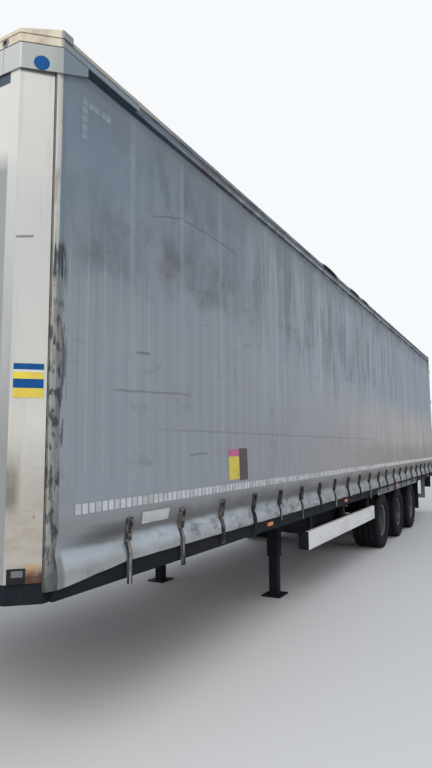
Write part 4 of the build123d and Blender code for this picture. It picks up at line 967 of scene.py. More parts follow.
SLOT_FINISHES: dict[str, Finish] = {
    "frame_paint": CHASSIS_PAINT,
    "body_paint": CREAM_PAINT,
    "band_paint": BAND_PAINT,
    "galvanised": GALVANISED,
    "bare_steel": BARE_STEEL,
    "aluminium": RAIL_ALUMINIUM,
    "timber": TIMBER,
    "curtain_cloth": CURTAIN,
    "roof_cloth": ROOF_CLOTH,
    "webbing": WEBBING,
    "rubber": RUBBER,
    "tyre_rubber": TYRE_RUBBER,
    "rim_paint": RIM_PAINT,
    "plastic": BLACK_PLASTIC,
    "pale_plastic": PALE_PLASTIC,
    "lamp_amber": AMBER_LENS,
    "plate_white": WHITE_PLATE,
}
NODE_FINISHES: dict[str, Finish] = {
    "front_wall": WALL_PAINT,
    "side_guards": GUARD_PAINT,
    "curtain_poles": POLE_ALUMINIUM,
}


class Workshop:
    """Makes finished objects from bmeshes, and keeps each material once."""

    def __init__(self) -> None:
        """Build the effect groups and start with no materials."""
        self.groups = EffectGroups()
        self.materials: dict[str, bpy.types.Material] = {}

    def material(self, finish: Finish) -> bpy.types.Material:
        """Return the finish's material, made on first use."""
        if finish.name not in self.materials:
            self.materials[finish.name] = finish.build(self.groups)
        return self.materials[finish.name]

    def finish_piece(self, mesh: bmesh.types.BMesh, name: str, finishes: Iterable[Finish], slot: str,
                     body: str = "trailer", smooth: bool = True,
                     merge: float = MERGE_DISTANCE) -> bpy.types.Object:
        """Turn a bmesh into an object that rides on a body.

        Args:
            mesh: the shape, already in place; it is freed.
            name: the piece's name.
            finishes: one finish for each material index used.
            slot: the record's material slot; not used.
            body: the body that the piece moves with.
            smooth: whether faces are shaded smooth.
            merge: how near vertices are merged.

        Returns:
            The new object.
        """
        if merge:
            bmesh.ops.remove_doubles(mesh, verts=mesh.verts, dist=merge)
        data = bpy.data.meshes.new(name)
        mesh.to_mesh(data)
        mesh.free()
        for finish in finishes:
            data.materials.append(self.material(finish))
        data.polygons.foreach_set("use_smooth", [smooth] * len(data.polygons))
        piece = bpy.data.objects.new(name, data)
        bpy.context.scene.collection.objects.link(piece)
        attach(piece, body)
        LOG.info("%s: %d faces", name, len(data.polygons))
        return piece

    def dress_nodes(self) -> None:
        """Give every carried-over CAD node its finish."""
        slots = {row["node"]: row["material_slot"] for row in frame["record"]["subparts"]}
        for name, node in frame["nodes"].items():
            finish = NODE_FINISHES.get(name) or SLOT_FINISHES[slots[name]]
            node.data.materials.clear()
            node.data.materials.append(self.material(finish))


@dataclass
class ClothShape:
    """The outer surface of a side curtain: how far out it stands at each station and level."""

    start: float = 0.207
    end: float = 13.542
    top_z: float = 3.838
    hem_z: float = 1.010
    plane_y: float = 1.2575
    waist_z: float = WAIST
    bulge_height: float = 0.130
    bulge: float = 0.010
    waist_in: float = 0.019
    hem_out: float = 0.012
    strap_pull: float = 0.030
    droop: float = 0.046
    droop_length: float = 0.56
    front_sag: float = 0.075
    droop_height: float = 0.30
    broad_ripple: float = 0.0030
    narrow_ripple: float = 0.0012
    low_ripple: float = 0.0016
    slanted_ripple: float = 0.0018
    side_seeds: tuple[float, float] = (3.0, 11.0)

    def strap_phase(self, station: float) -> float:
        """Return 0 at a strap and 1 halfway between two straps."""
        turns = (station - STRAP_FIRST) / STRAP_PITCH
        return abs(2 * (turns - round(turns)))

    def ripple(self, station: float, z: float, side: int) -> float:
        """Return the soft upright folds of the hanging cloth.

        Args:
            station: distance behind the front face.
            z: height.
            side: the side's sign.

        Returns:
            How far the cloth stands out there because of them.
        """
        seed = self.side_seeds[side > 0]
        broad = noise.noise(Vector((station * 1.3, z * 0.25, seed)))
        narrow = noise.noise(Vector((station * 5.5, z * 0.45, seed + 7.0)))
        slanted = noise.noise(Vector((station * 2.2 + z * 1.6, z * 3.1 - station * 0.8, seed + 19.0)))
        low = min(1.0, max(0.0, (2.6 - z) / 1.6))
        upright = self.broad_ripple * broad + (self.narrow_ripple + self.low_ripple * low) * narrow
        return upright + self.slanted_ripple * slanted

    def outward(self, station: float, z: float, side: int) -> float:
        """Return how far from the middle the cloth stands, as a positive distance.

        Args:
            station: distance behind the front face.
            z: height.
            side: the side's sign.

        Returns:
            The distance from the trailer's middle plane.
        """
        phase = self.strap_phase(station)
        uneven = noise.noise(Vector((station * 1.7, 5.0 * side, 2.0)))
        waist = self.waist_z - self.strap_pull * (1.0 - phase) ** 2.0 + 0.010 * uneven
        if station < STRAP_FIRST:
            waist = self.waist_z - self.front_sag * (station - self.start) / (STRAP_FIRST - self.start)
        bulge_z = waist + self.bulge_height
        waist_in = self.waist_in * (0.85 + 0.20 * uneven)
        if z >= bulge_z:
            rise = min(1.0, (z - bulge_z) / 0.5)
            offset = self.bulge * (0.5 + 0.5 * math.cos(math.pi * rise))
        elif z >= waist:
            fall = (bulge_z - z) / self.bulge_height
            offset = self.bulge - (self.bulge + waist_in) * fall ** 1.7
        else:
            fall = (waist - z) / (waist - self.hem_z)
            flare = self.hem_out + 0.006 * math.sin(math.pi * phase) + 0.004 * uneven
            offset = -waist_in + (waist_in + flare) * math.sin(0.5 * math.pi * min(1.0, fall * 1.35))
        free = min(1.0, (self.top_z - z) / 0.25)
        return self.plane_y + offset + self.ripple(station, z, side) * max(0.0, free)

    def hang(self, station: float, z: float) -> float:
        """Return a level of the cloth brought down where its front corner droops.

        Args:
            station: distance behind the front face.
            z: height before the droop.

        Returns:
            The height after it.
        """
        front = min(1.0, max(0.0, 1.0 - (station - self.start) / self.droop_length))
        low = max(0.0, 1.0 - (z - self.hem_z) / self.droop_height)
        return z - self.droop * front * low

    def point(self, station: float, z: float, side: int, proud: float = 0.0) -> Vector:
        """Return a point on the cloth, or standing a little proud of it."""
        return Vector((at(station), side * (self.outward(station, z, side) + proud), self.hang(station, z)))


@dataclass
class Curtains:
    """The two side curtains and what is printed, sewn or stuck on them, all left blank."""

    shop: Workshop
    shape: ClothShape = field(default_factory=ClothShape)
    columns: int = 900
    rows: int = 96
    edge_rows: int = 120
    edge_wave: float = 0.0025
    proud: float = 0.0014
    tape_span: tuple[float, float] = (0.320, 13.45)
    tape_levels: tuple[float, float] = (1.323, 1.379)
    tape_cells: tuple[int, int] = (700, 1)
    square: float = 0.046
    square_pitch: float = 0.052
    square_top: float = 3.705
    square_count: int = 5
    corner_starts: tuple[tuple[float, int], ...] = (
        # first station, way that the row runs
        (0.328, 1),
        (13.42, -1),
    )
    edge_plan: tuple[tuple[float, float], ...] = (
        # station, distance from the middle
        (0.1455, 1.2260),
        (0.1445, 1.2440),
        (0.1480, 1.2485),
        (0.1650, 1.2505),
        (0.1850, 1.2545),
        (0.2070, 1.2578),
    )
    plates: tuple[tuple[tuple[float, float], tuple[float, float], tuple[int, int], float, Finish], ...] = (
        # stations, levels, cells, distance off the cloth, finish
        ((0.934, 1.233), (1.204, 1.277), (8, 3), 0.004, WHITE_PLATE),
        ((2.115, 2.308), (1.600, 1.657), (4, 2), 0.002, MAGENTA_FILM),
        ((2.115, 2.308), (1.411, 1.600), (4, 4), 0.002, YELLOW_FILM),
        ((2.308, 2.464), (1.400, 1.665), (4, 4), 0.003, BROWN_FILM),
    )

    def _patch(self, mesh: bmesh.types.BMesh, span: tuple[float, float], levels: tuple[float, float],
               cells: tuple[int, int], side: int, proud: float, index: int = 0) -> None:
        """Add a grid that lies on the cloth.

        Args:
            mesh: the bmesh to add to.
            span: first and last station.
            levels: lowest and highest z.
            cells: cells along and up.
            side: the side's sign.
            proud: how far it stands off the cloth.
            index: its material index.
        """
        made = bmesh.ops.create_grid(mesh, x_segments=cells[0], y_segments=cells[1], size=0.5)
        for vert in made["verts"]:
            station = span[0] + (vert.co.x + 0.5) * (span[1] - span[0])
            z = levels[0] + (vert.co.y + 0.5) * (levels[1] - levels[0])
            vert.co = self.shape.point(station, z, side, proud)
        paint(made, index)
        if side > 0:
            bmesh.ops.reverse_faces(mesh, faces=faces_of(made))

    def build_curtain(self, side: Side) -> bpy.types.Object:
        """Make one hanging curtain in place of its plain solid.

        Args:
            side: which side.

        Returns:
            The curtain.
        """
        mesh = bmesh.new()
        shape = self.shape
        self._patch(mesh, (shape.start, shape.end), (shape.hem_z, shape.top_z), (self.columns, self.rows),
                    side.value, 0.0)
        for face in mesh.faces:
            face.material_index = int(face.calc_center_median().z < FINISH_BORDER)
        piece = self.shop.finish_piece(mesh, f"curtain_cloth_{side.word}", [CURTAIN, CURTAIN_HEM],
                                       "curtain_cloth", merge=0.0)
        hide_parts(f"curtain_{side.word}")
        return piece

    def build_edge(self, side: Side) -> bpy.types.Object:
        """Make the curtain's front edge, which is wrapped round its tensioning pole.

        Args:
            side: which side.

        Returns:
            The wrapped edge.
        """
        mesh = bmesh.new()
        shape = self.shape
        sign = side.value
        steps = len(self.edge_plan) - 1
        made = bmesh.ops.create_grid(mesh, x_segments=steps, y_segments=self.edge_rows, size=0.5)
        for vert in made["verts"]:
            step = round((vert.co.x + 0.5) * steps)
            z = shape.hem_z + (vert.co.y + 0.5) * (shape.top_z - shape.hem_z)
            station, reach = self.edge_plan[step]
            share = (step / steps) ** 4
            wave = self.edge_wave * noise.noise(Vector((z * 2.5, 4.0, sign))) if step > 1 else 0.0
            own = shape.outward(shape.start, z, sign)
            away = (reach + wave) * (1 - share) + own * share
            vert.co = Vector((at(station), sign * away, shape.hang(station, z)))
        if sign > 0:
            bmesh.ops.reverse_faces(mesh, faces=mesh.faces)
        return self.shop.finish_piece(mesh, f"curtain_edge_{side.word}", [CURTAIN_EDGE], "curtain_cloth",
                                      merge=0.0)

    def build_marks(self, side: Side) -> None:
        """Lay the reflective tape and the corner marks on the cloth.

        Args:
            side: which side.
        """
        sign = side.value
        tape = bmesh.new()
        self._patch(tape, self.tape_span, self.tape_levels, self.tape_cells, sign, self.proud)
        self.shop.finish_piece(tape, f"contour_tape_{side.word}", [TAPE], "plate_white")

        corner = bmesh.new()
        for first, way in self.corner_starts:
            for step in range(self.square_count):
                self._square(corner, first + way * self.square_pitch * step, way, self.square_top, sign)
            for step in range(1, self.square_count):
                self._square(corner, first, way, self.square_top - self.square_pitch * step, sign)
        self.shop.finish_piece(corner, f"corner_marks_{side.word}", [FADED_TAPE], "plate_white")

    def _square(self, mesh: bmesh.types.BMesh, start: float, way: int, top: float, side: int) -> None:
        """Add one square of a corner mark.

        Args:
            mesh: the bmesh to add to.
            start: the station where it starts.
            way: 1 if it runs rearward from there and -1 if it runs forward.
            top: its upper level.
            side: the side's sign.
        """
        low, high = sorted((start, start + way * self.square))
        self._patch(mesh, (low, high), (top - self.square, top), (2, 2), side, self.proud)

    def build_plates(self) -> None:
        """Lay the blank plate, the sign film and its dark pocket on the left curtain."""
        plates = bmesh.new()
        for index, (span, levels, cells, proud, _) in enumerate(self.plates):
            self._patch(plates, span, levels, cells, Side.LEFT.value, proud, index)
        self.shop.finish_piece(plates, "blank_plates", [row[-1] for row in self.plates], "plate_white",
                               smooth=False)


@dataclass
class CurtainStraps:
    """The tensioning straps along each hem: buckle, webbing over the hem and a loose tail."""

    shop: Workshop
    shape: ClothShape
    count: int = 22
    width: float = 0.045
    buckle_top: float = 1.262
    buckle_low: float = 1.122
    thickness: float = 0.0022
    most_lift: float = 0.008
    hem_ends: tuple[float, ...] = (0.875, 0.93, 0.93, 0.98)
    tail_widths: tuple[float, ...] = (0.006, 0.010, 0.022, 0.034)
    cord_width: float = 0.012
    block_bevel: float = 0.0012

    def _ribbon(self, mesh: bmesh.types.BMesh, path: list[Vector], widths: tuple[float, float], turn: float,
                index: int) -> None:
        """Add a flat strap along a path, turning about its length on its way down.

        Args:
            mesh: the bmesh to add to.
            path: centre points from top to bottom.
            widths: the strap's width at its top and at its end.
            turn: how far its end is turned towards the front, in radians.
            index: its material index.
        """
        steps = len(path) - 1
        made = bmesh.ops.create_grid(mesh, x_segments=1, y_segments=steps, size=0.5)
        outward = 1 if path[0].y > 0 else -1
        for vert in made["verts"]:
            row = round((0.5 - vert.co.y) * steps)
            share = row / steps
            half = math.copysign(0.5, vert.co.x) * (widths[0] + (widths[1] - widths[0]) * share)
            angle = turn * share
            aside = outward * (half + abs(half)) * math.sin(angle)
            vert.co = path[row] + Vector((half * math.cos(angle), aside, 0))
        paint(made, index)

    def _block(self, mesh: bmesh.types.BMesh, centre: Vector, size: tuple[float, float, float], tilt: float,
               bevel: float, index: int) -> None:
        """Add a small bevelled block.

        Args:
            mesh: the bmesh to add to.
            centre: where it sits.
            size: its lengths along X, Y and Z.
            tilt: its turn about X, in radians.
            bevel: how far its edges are taken off.
            index: its material index.
        """
        made = add_block(mesh, Matrix.Translation(centre) @ Matrix.Rotation(tilt, 4, "X"), size)
        paint(made, index)
        soften(mesh, made, bevel, 1)

    def build(self, side: Side) -> bpy.types.Object:
        """Make all straps of one side as one piece.

        Args:
            side: which side.

        Returns:
            The joined straps.
        """
        sign = side.value
        draw = random.Random(41 + sign)
        mesh = bmesh.new()
        for index in range(self.count):
            station = STRAP_FIRST + STRAP_PITCH * index
            lift = draw.uniform(-self.most_lift, self.most_lift)
            self._buckle(mesh, station, lift, sign)
            low = self.buckle_low + lift
            end = draw.choice(self.hem_ends)
            worn = draw.uniform(0.75, 1.0)
            webbing = self._fall(station, low + 0.045, end, sign, 0.004, 0.0)
            self._ribbon(mesh, webbing, (self.width, self.width * worn), draw.uniform(0.05, 0.45), 0)
            width = draw.choice(self.tail_widths)
            tail_end = draw.uniform(0.855, 0.99)
            drift = draw.uniform(-0.016, 0.016)
            tail = self._fall(station, low + 0.075, tail_end, sign, 0.012, drift)
            finish_index = 2 if width < self.cord_width else 0
            self._ribbon(mesh, tail, (width + 0.010, width), draw.uniform(0.2, 0.8), finish_index)
        piece = self.shop.finish_piece(mesh, f"strap_set_{side.word}", [WEBBING, BUCKLE_STEEL, CORD],
                                       "webbing", smooth=False)
        solid = piece.modifiers.new("webbing_thickness", "SOLIDIFY")
        solid.thickness = self.thickness
        solid.offset = 0.0
        return piece

    def _fall(self, station: float, top: float, end: float, sign: int, proud: float,
              drift: float) -> list[Vector]:
        """Return the path of a strap that lies on the cloth and hangs free below the hem.

        Args:
            station: where it hangs.
            top: its highest level.
            end: its lowest level.
            sign: the side's sign.
            proud: how far it stands off the cloth.
            drift: how far its end has swung along the trailer.

        Returns:
            Its centre points from top to bottom.
        """
        steps = 14
        path = []
        for step in range(steps + 1):
            share = step / steps
            z = top + (end - top) * share
            base = self.shape.point(station, max(z, self.shape.hem_z), sign, proud)
            path.append(Vector((base.x + drift * share ** 2, base.y, z)))
        return path

    def _buckle(self, mesh: bmesh.types.BMesh, station: float, lift: float, sign: int) -> None:
        """Add one over-centre buckle, with its side plates, bars and lever.

        Args:
            mesh: the bmesh to add to.
            station: where it sits.
            lift: how much higher than the others it sits.
            sign: the side's sign.
        """
        top = self.buckle_top + lift
        low = self.buckle_low + lift
        lower = self.shape.point(station, low, sign)
        upper = self.shape.point(station, top, sign)
        tilt = -math.atan2(upper.y - lower.y, top - low)
        along = (upper - lower).normalized()
        out = Vector((0, sign, 0))
        centre = (upper + lower) / 2 + out * 0.012
        parts = [
            # shift along X, shift up, shift out, size along X, Y and Z
            (-0.0230, 0.000, 0.000, 0.004, 0.018, top - low),
            (0.0230, 0.000, 0.000, 0.004, 0.018, top - low),
            (0.0, 0.060, 0.002, 0.046, 0.014, 0.014),
            (0.0, 0.014, 0.000, 0.046, 0.010, 0.010),
            (0.0, -0.022, 0.006, 0.040, 0.006, 0.050),
            (0.0, -0.062, 0.000, 0.046, 0.010, 0.010),
        ]
        for shift, up, proud, *size in parts:
            place = centre + Vector((shift, 0, 0)) + along * up + out * proud
            self._block(mesh, place, tuple(size), tilt, self.block_bevel, 1)


@dataclass
class RoofCloth:
    """The sliding roof's tarpaulin, slack between its bows, with loose folds standing on its edge."""

    shop: Workshop
    start: float = 0.232
    end: float = 13.556
    edge_y: float = 1.258
    crown_z: float = 3.998
    edge_z: float = 3.985
    skirt_z: float = 3.946
    bow_first: float = 0.6
    bow_pitch: float = 0.6325
    sag_depth: float = 0.014
    wrinkle_depth: float = 0.003
    settle: float = 0.003
    fold_place: float = 1.0
    fold_spread: float = 0.035
    folds: tuple[tuple[float, float, float], ...] = (
        # first station, last station, height
        (4.70, 5.45, 0.030),
        (5.98, 6.60, 0.018),
        (6.68, 7.18, 0.016),
    )

    def fold(self, station: float, across: float) -> float:
        """Return how high a loose fold stands near the left edge, where one was pushed up.

        Args:
            station: distance behind the front face.
            across: place across the roof, from -1 at the left edge to 1 at the right.

        Returns:
            The fold's height there.
        """
        lift = 0.0
        for first, last, height in self.folds:
            share = (station - first) / (last - first)
            if 0.0 < share < 1.0:
                off = (across + self.fold_place) / self.fold_spread
                lift += height * math.sin(math.pi * share) ** 0.8 * math.exp(-off * off)
        return lift

    def height(self, station: float, across: float) -> float:
        """Return the cloth's level.

        Args:
            station: distance behind the front face.
            across: place across the roof, from -1 at the left edge to 1 at the right.

        Returns:
            The cloth's height there.
        """
        turns = (station - self.bow_first) / self.bow_pitch
        between = abs(2 * (turns - round(turns)))
        sag = self.sag_depth * between * (1 - across * across)
        wrinkle = self.wrinkle_depth * noise.noise(Vector((station * 4.0, across * 5.0, 1.0)))
        crown = (self.crown_z - self.edge_z) * (1 - abs(across) ** 1.5)
        level = self.edge_z + crown - sag + wrinkle - self.settle
        return level + self.fold(station, across)

    def build(self) -> bpy.types.Object:
        """Make the tarpaulin in place of its plain solid.

        Returns:
            The tarpaulin.
        """
        mesh = bmesh.new()
        columns, rows = 420, 96
        limit = 0.97
        made = bmesh.ops.create_grid(mesh, x_segments=columns, y_segments=rows, size=1.0)
        for vert in made["verts"]:
            station = self.start + (vert.co.x + 1) / 2 * (self.end - self.start)
            across = math.sin(0.5 * math.pi * vert.co.y)
            if abs(across) <= limit:
                share = across / limit
                vert.co = Vector((at(station), share * self.edge_y, self.height(station, share)))
            else:
                side = 1 if across > 0 else -1
                down = (abs(across) - limit) / (1 - limit)
                flutter = 0.004 * noise.noise(Vector((station * 6.0, 2.0 * side, down)))
                top = self.height(station, side)
                vert.co = Vector((at(station), side * (self.edge_y + 0.002 + flutter * down),
                                  top + (self.skirt_z - top) * down))
        piece = self.shop.finish_piece(mesh, "roof_tarpaulin", [ROOF_CLOTH], "roof_cloth", merge=0.0)
        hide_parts("roof_tarp")
        return piece


@dataclass
class Wheels:
    """Tyres with their grooves and bulging sidewalls, and rims with dish, hub and nuts."""

    shop: Workshop
    radius: float = 0.4475
    half_width: float = 0.2225
    bead: float = 0.250
    steps: int = 96
    nut_count: int = 10
    nut_circle: float = 0.1675
    nut_offset: float = 0.094

    def _spin(self, mesh: bmesh.types.BMesh, section: list[tuple[float, float]], centre: Vector,
              sign: int) -> None:
        """Turn a section about the wheel's axle.

        Args:
            mesh: the bmesh to add to.
            section: points as distance from the axle and offset towards the outside.
            centre: the wheel's middle.
            sign: the side's sign.
        """
        verts = [mesh.verts.new(centre + Vector((0, sign * offset, -reach))) for reach, offset in section]
        edges = [mesh.edges.new(pair) for pair in zip(verts, verts[1:])]
        bmesh.ops.spin(mesh, geom=verts + edges, cent=centre, axis=Vector((0, 1, 0)), angle=2 * math.pi,
                       steps=self.steps, use_merge=True)

    def build_tyre(self, number: int, side: Side) -> None:
        """Make one tyre in place of its plain ring.

        Args:
            number: the axle's number from the front.
            side: which side.
        """
        low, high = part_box(f"tyre_{number}_{side.word}")
        centre = (low + high) / 2
        w, r = self.half_width, self.radius
        section = [(self.bead, -w * 0.84), (0.262, -w * 0.90), (0.300, -w * 0.975), (0.350, -w * 1.0),
                   (0.392, -w * 0.985), (0.420, -w * 0.955), (0.4385, -w * 0.91), (0.4440, -w * 0.86)]
        groove, lip, flat = 0.011, 0.007, 0.005
        for rib in (-0.62, -0.22, 0.22, 0.62):
            mid = rib * w
            section += [(r, mid - lip), (r - groove, mid - flat), (r - groove, mid + flat), (r, mid + lip)]
        section += [(reach, -offset) for reach, offset in reversed(section[:8])]
        mesh = bmesh.new()
        self._spin(mesh, section, centre, 1)
        bmesh.ops.remove_doubles(mesh, verts=mesh.verts, dist=MERGE_DISTANCE)
        bmesh.ops.recalc_face_normals(mesh, faces=mesh.faces)
        piece = self.shop.finish_piece(mesh, f"tyre_shape_{number}_{side.word}", [TYRE_RUBBER], "tyre_rubber",
                                       body=f"wheel_{number}_{side.word}")
        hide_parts(f"tyre_{number}_{side.word}")

    def build_rim(self, number: int, side: Side) -> None:
        """Make one rim in place of its plain form.

        Args:
            number: the axle's number from the front.
            side: which side.
        """
        low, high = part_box(f"tyre_{number}_{side.word}")
        centre = (low + high) / 2
        sign = side.value
        section = [(0.2495, -0.186), (0.238, -0.190), (0.234, -0.150), (0.228, 0.020), (0.232, 0.150),
                   (0.240, 0.188), (0.2495, 0.190), (0.2495, 0.182), (0.236, 0.176), (0.226, 0.140),
                   (0.222, 0.084), (0.205, 0.074), (0.168, 0.088), (0.140, 0.074), (0.112, 0.070),
                   (0.098, 0.074), (0.094, 0.120), (0.086, 0.134), (0.050, 0.142), (0.0001, 0.144)]
        mesh = bmesh.new()
        self._spin(mesh, section, centre, sign)
        for nut in range(self.nut_count):
            angle = 2 * math.pi * nut / self.nut_count
            reach = Vector((math.sin(angle), 0, math.cos(angle))) * self.nut_circle
            place = centre + reach + Vector((0, sign * self.nut_offset, 0))
            turn = Matrix.Translation(place) @ Matrix.Rotation(math.pi / 2, 4, "X")
            bmesh.ops.create_cone(mesh, cap_ends=True, segments=6, radius1=0.017, radius2=0.015, depth=0.026,
                                  matrix=turn)
        bmesh.ops.remove_doubles(mesh, verts=mesh.verts, dist=MERGE_DISTANCE)
        bmesh.ops.recalc_face_normals(mesh, faces=mesh.faces)
        piece = self.shop.finish_piece(mesh, f"rim_shape_{number}_{side.word}", [RIM_PAINT], "rim_paint",
                                       body=f"wheel_{number}_{side.word}")
        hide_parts(f"rim_{number}_{side.word}")


@dataclass
class RoofCap:
    """The moulding over the front band: a lower strip, a groove, a head with a soft edge, and side strips."""

    shop: Workshop
    outline: tuple[tuple[float, float], ...] = (
        # station, distance from the middle
        (0.0, 1.103),
        (0.156, 1.275),
        (0.228, 1.275),
    )
    groove_under: float = 3.937
    groove_top: float = 3.9453
    groove_depth: float = 0.009
    edge_radius: float = 0.014
    edge_steps: int = 5
    front_drop: float = 0.027
    strip_inner_y: float = 1.2563
    strip_end: float = 0.858
    bolt_y: float = 0.988
    bolt_z: float = 3.919
    bolt_parts: tuple[tuple[int, float, float, float], ...] = (
        # segments, radius at the foot, radius at the top, depth
        (24, 0.027, 0.025, 0.0024),
        (6, 0.016, 0.015, 0.003),
    )

    def _ring(self, mesh: bmesh.types.BMesh, z: float, inset: float, drop: float,
              capped: bool) -> list[bmesh.types.BMEdge]:
        """Add the moulding's outline at one level.

        Args:
            mesh: the bmesh to add to.
            z: the level.
            inset: how far the outline is drawn in on every side.
            drop: how much lower the two front corners stand.
            capped: whether the ring is closed by a face.

        Returns:
            The ring's edges.
        """
        left = [Vector((at(station), -reach)) for station, reach in self.outline]
        loop = left + [Vector((point.x, -point.y)) for point in reversed(left)]
        count = len(loop)
        made = bmesh.ops.create_circle(mesh, cap_ends=capped, segments=count, radius=1.0)
        for index, vert in enumerate(made["verts"]):
            here = loop[index]
            back = (here - loop[index - 1]).normalized()
            ahead = (loop[(index + 1) % count] - here).normalized()
            inward = Vector((back.y, -back.x)) + Vector((ahead.y, -ahead.x))
            inward = inward * (-inset / (1.0 + back.dot(ahead)))
            level = z - drop if index in (0, count - 1) else z
            vert.co = Vector((here.x + inward.x, here.y + inward.y, level))
        return edges_of(made)

    def _strip(self, mesh: bmesh.types.BMesh, side: int, low: float) -> None:
        """Add the thin strip that runs back over the rail on one side.

        Args:
            mesh: the bmesh to add to.
            side: the side's sign.
            low: the strip's lower level.
        """
        rear = self.outline[-1][0]
        corners = [(rear, low), (self.strip_end - 0.030, low), (self.strip_end, low + 0.018),
                   (self.strip_end - 0.012, self.groove_under), (rear, self.groove_under)]
        made = bmesh.ops.create_circle(mesh, cap_ends=True, segments=len(corners), radius=1.0)
        for vert, (station, z) in zip(made["verts"], corners):
            vert.co = Vector((at(station), side * self.strip_inner_y, z))
        grown = bmesh.ops.extrude_face_region(mesh, geom=faces_of(made))["geom"]
        verts = [item for item in grown if isinstance(item, bmesh.types.BMVert)]
        bmesh.ops.translate(mesh, verts=verts, vec=(0, side * (self.outline[-1][1] - self.strip_inner_y), 0))

    def build(self) -> None:
        """Make the moulding in place of its plain solid."""
        low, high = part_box("roof_front_cap")
        levels = [(low.z, 0.0), (self.groove_under, 0.0), (self.groove_under, self.groove_depth),
                  (self.groove_top, self.groove_depth), (self.groove_top, 0.0)]
        for step in range(self.edge_steps + 1):
            turn = 0.5 * math.pi * step / self.edge_steps
            levels.append((high.z - self.edge_radius * (1 - math.sin(turn)),
                           self.edge_radius * (1 - math.cos(turn))))
        mesh = bmesh.new()
        rings = []
        for index, (z, inset) in enumerate(levels):
            drop = self.front_drop * max(0.0, z - self.groove_top) / (high.z - self.groove_top)
            rings.append(self._ring(mesh, z, inset, drop, index in (0, len(levels) - 1)))
        for under, over in zip(rings, rings[1:]):
            bmesh.ops.bridge_loops(mesh, edges=under + over)
        for side in Side:
            self._strip(mesh, side.value, low.z)
        bmesh.ops.recalc_face_normals(mesh, faces=mesh.faces)
        piece = self.shop.finish_piece(mesh, "roof_cap_moulding", [CAP_PAINT], "body_paint", smooth=False)
        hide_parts("roof_front_cap")

        bolts = bmesh.new()
        for side in Side:
            place = Matrix.Translation((at(-0.0015), side.value * self.bolt_y, self.bolt_z))
            turn = place @ Matrix.Rotation(-math.pi / 2, 4, "Y")
            for index, (segments, foot, top, depth) in enumerate(self.bolt_parts):
                made = bmesh.ops.create_cone(bolts, cap_ends=True, segments=segments, radius1=foot,
                                             radius2=top, depth=depth, matrix=turn)
                paint(made, index)
        self.shop.finish_piece(bolts, "cap_bolts", [PALE_PLASTIC, CHASSIS_PAINT], "frame_paint", smooth=False)


@dataclass(frozen=True)
class SlantedFace:
    """An upright slanted face of the front corner, from its front fold back to the side."""

    front_station: float
    front_y: float
    rear_station: float
    rear_y: float

    def place(self, along: float, z: float, proud: float, side: int) -> tuple[Vector, Vector]:
        """Return a point on the face and the face's outward direction.

        Args:
            along: distance from the front fold, in metres.
            z: height.
            proud: distance out from the face.
            side: the side's sign.

        Returns:
            The point and the outward unit vector.
        """
        front = Vector((at(self.front_station), side * self.front_y, z))
        rear = Vector((at(self.rear_station), side * self.rear_y, z))
        run = (rear - front).normalized()
        out = Vector((-abs(run.y), side * abs(run.x), 0))
        return front + run * along + out * proud, out


@dataclass
class FrontFittings:
    """What sits on the front corner: blank badge, blank stickers and the lenses of the corner lamps."""

    shop: Workshop
    band: SlantedFace = SlantedFace(0.0, 1.103, 0.156, 1.275)
    pillar: SlantedFace = SlantedFace(0.012, 1.098, 0.142, 1.226)
    lens_size: tuple[float, float, float] = (0.057, 0.032, 0.006)

    def build_badge(self) -> None:
        """Make the blank round badge on the band's slanted face."""
        centre, out = self.band.place(0.116, 3.779, 0.002, -1)
        mesh = bmesh.new()
        bmesh.ops.create_cone(mesh, cap_ends=True, segments=48, radius1=0.042, radius2=0.040, depth=0.004,
                              matrix=facing(centre, out))
        self.shop.finish_piece(mesh, "blank_badge", [BLUE_FILM], "plate_white", smooth=False)

    def build_stickers(self) -> None:
        """Make the stack of blank coloured fields on the pillar's slanted face."""
        fields = [
            # low z, high z, finish
            (1.938, 1.988, YELLOW_FILM),
            (1.988, 2.036, BLUE_FILM),
            (2.036, 2.072, YELLOW_FILM),
            (2.072, 2.084, WHITE_PLATE),
            (2.084, 2.116, BLUE_FILM),
        ]
        mesh = bmesh.new()
        finishes = [WHITE_PLATE, YELLOW_FILM, BLUE_FILM]
        for low, high, finish in fields:
            made = bmesh.ops.create_grid(mesh, x_segments=1, y_segments=1, size=0.5)
            for vert in made["verts"]:
                along = 0.016 + (vert.co.x + 0.5) * 0.150
                z = low + (vert.co.y + 0.5) * (high - low)
                vert.co = self.pillar.place(along, z, 0.0014, -1)[0]
            paint(made, finishes.index(finish))
        self.shop.finish_piece(mesh, "blank_stickers", finishes, "plate_white", smooth=False)

    def build_end_plates(self) -> None:
        """Close the front end of each side rave with a flat plate, where such frames have a folded one."""
        low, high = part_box("side_raves")
        inner, thickness, gap = 1.186, 0.004, 0.0006
        size = (thickness, high.y - inner, high.z - low.z - 2 * gap)
        mesh = bmesh.new()
        for side in Side:
            centre = Vector((low.x - gap - thickness / 2, side.value * (inner + high.y) / 2,
                             (low.z + high.z) / 2))
            add_block(mesh, Matrix.Translation(centre), size)
        self.shop.finish_piece(mesh, "rave_end_plates", [CHASSIS_PAINT], "frame_paint", smooth=False)

    def build_lenses(self) -> None:
        """Set a clear lens on each corner lamp at the foot of the pillars."""
        mesh = bmesh.new()
        for side in Side:
            centre, out = self.pillar.place(0.0635, 1.059, 0.003, side.value)
            made = add_block(mesh, facing(centre, out), self.lens_size)
            soften(mesh, made, 0.002, 2)
        self.shop.finish_piece(mesh, "corner_lenses", [CLEAR_LENS], "plastic", smooth=False)


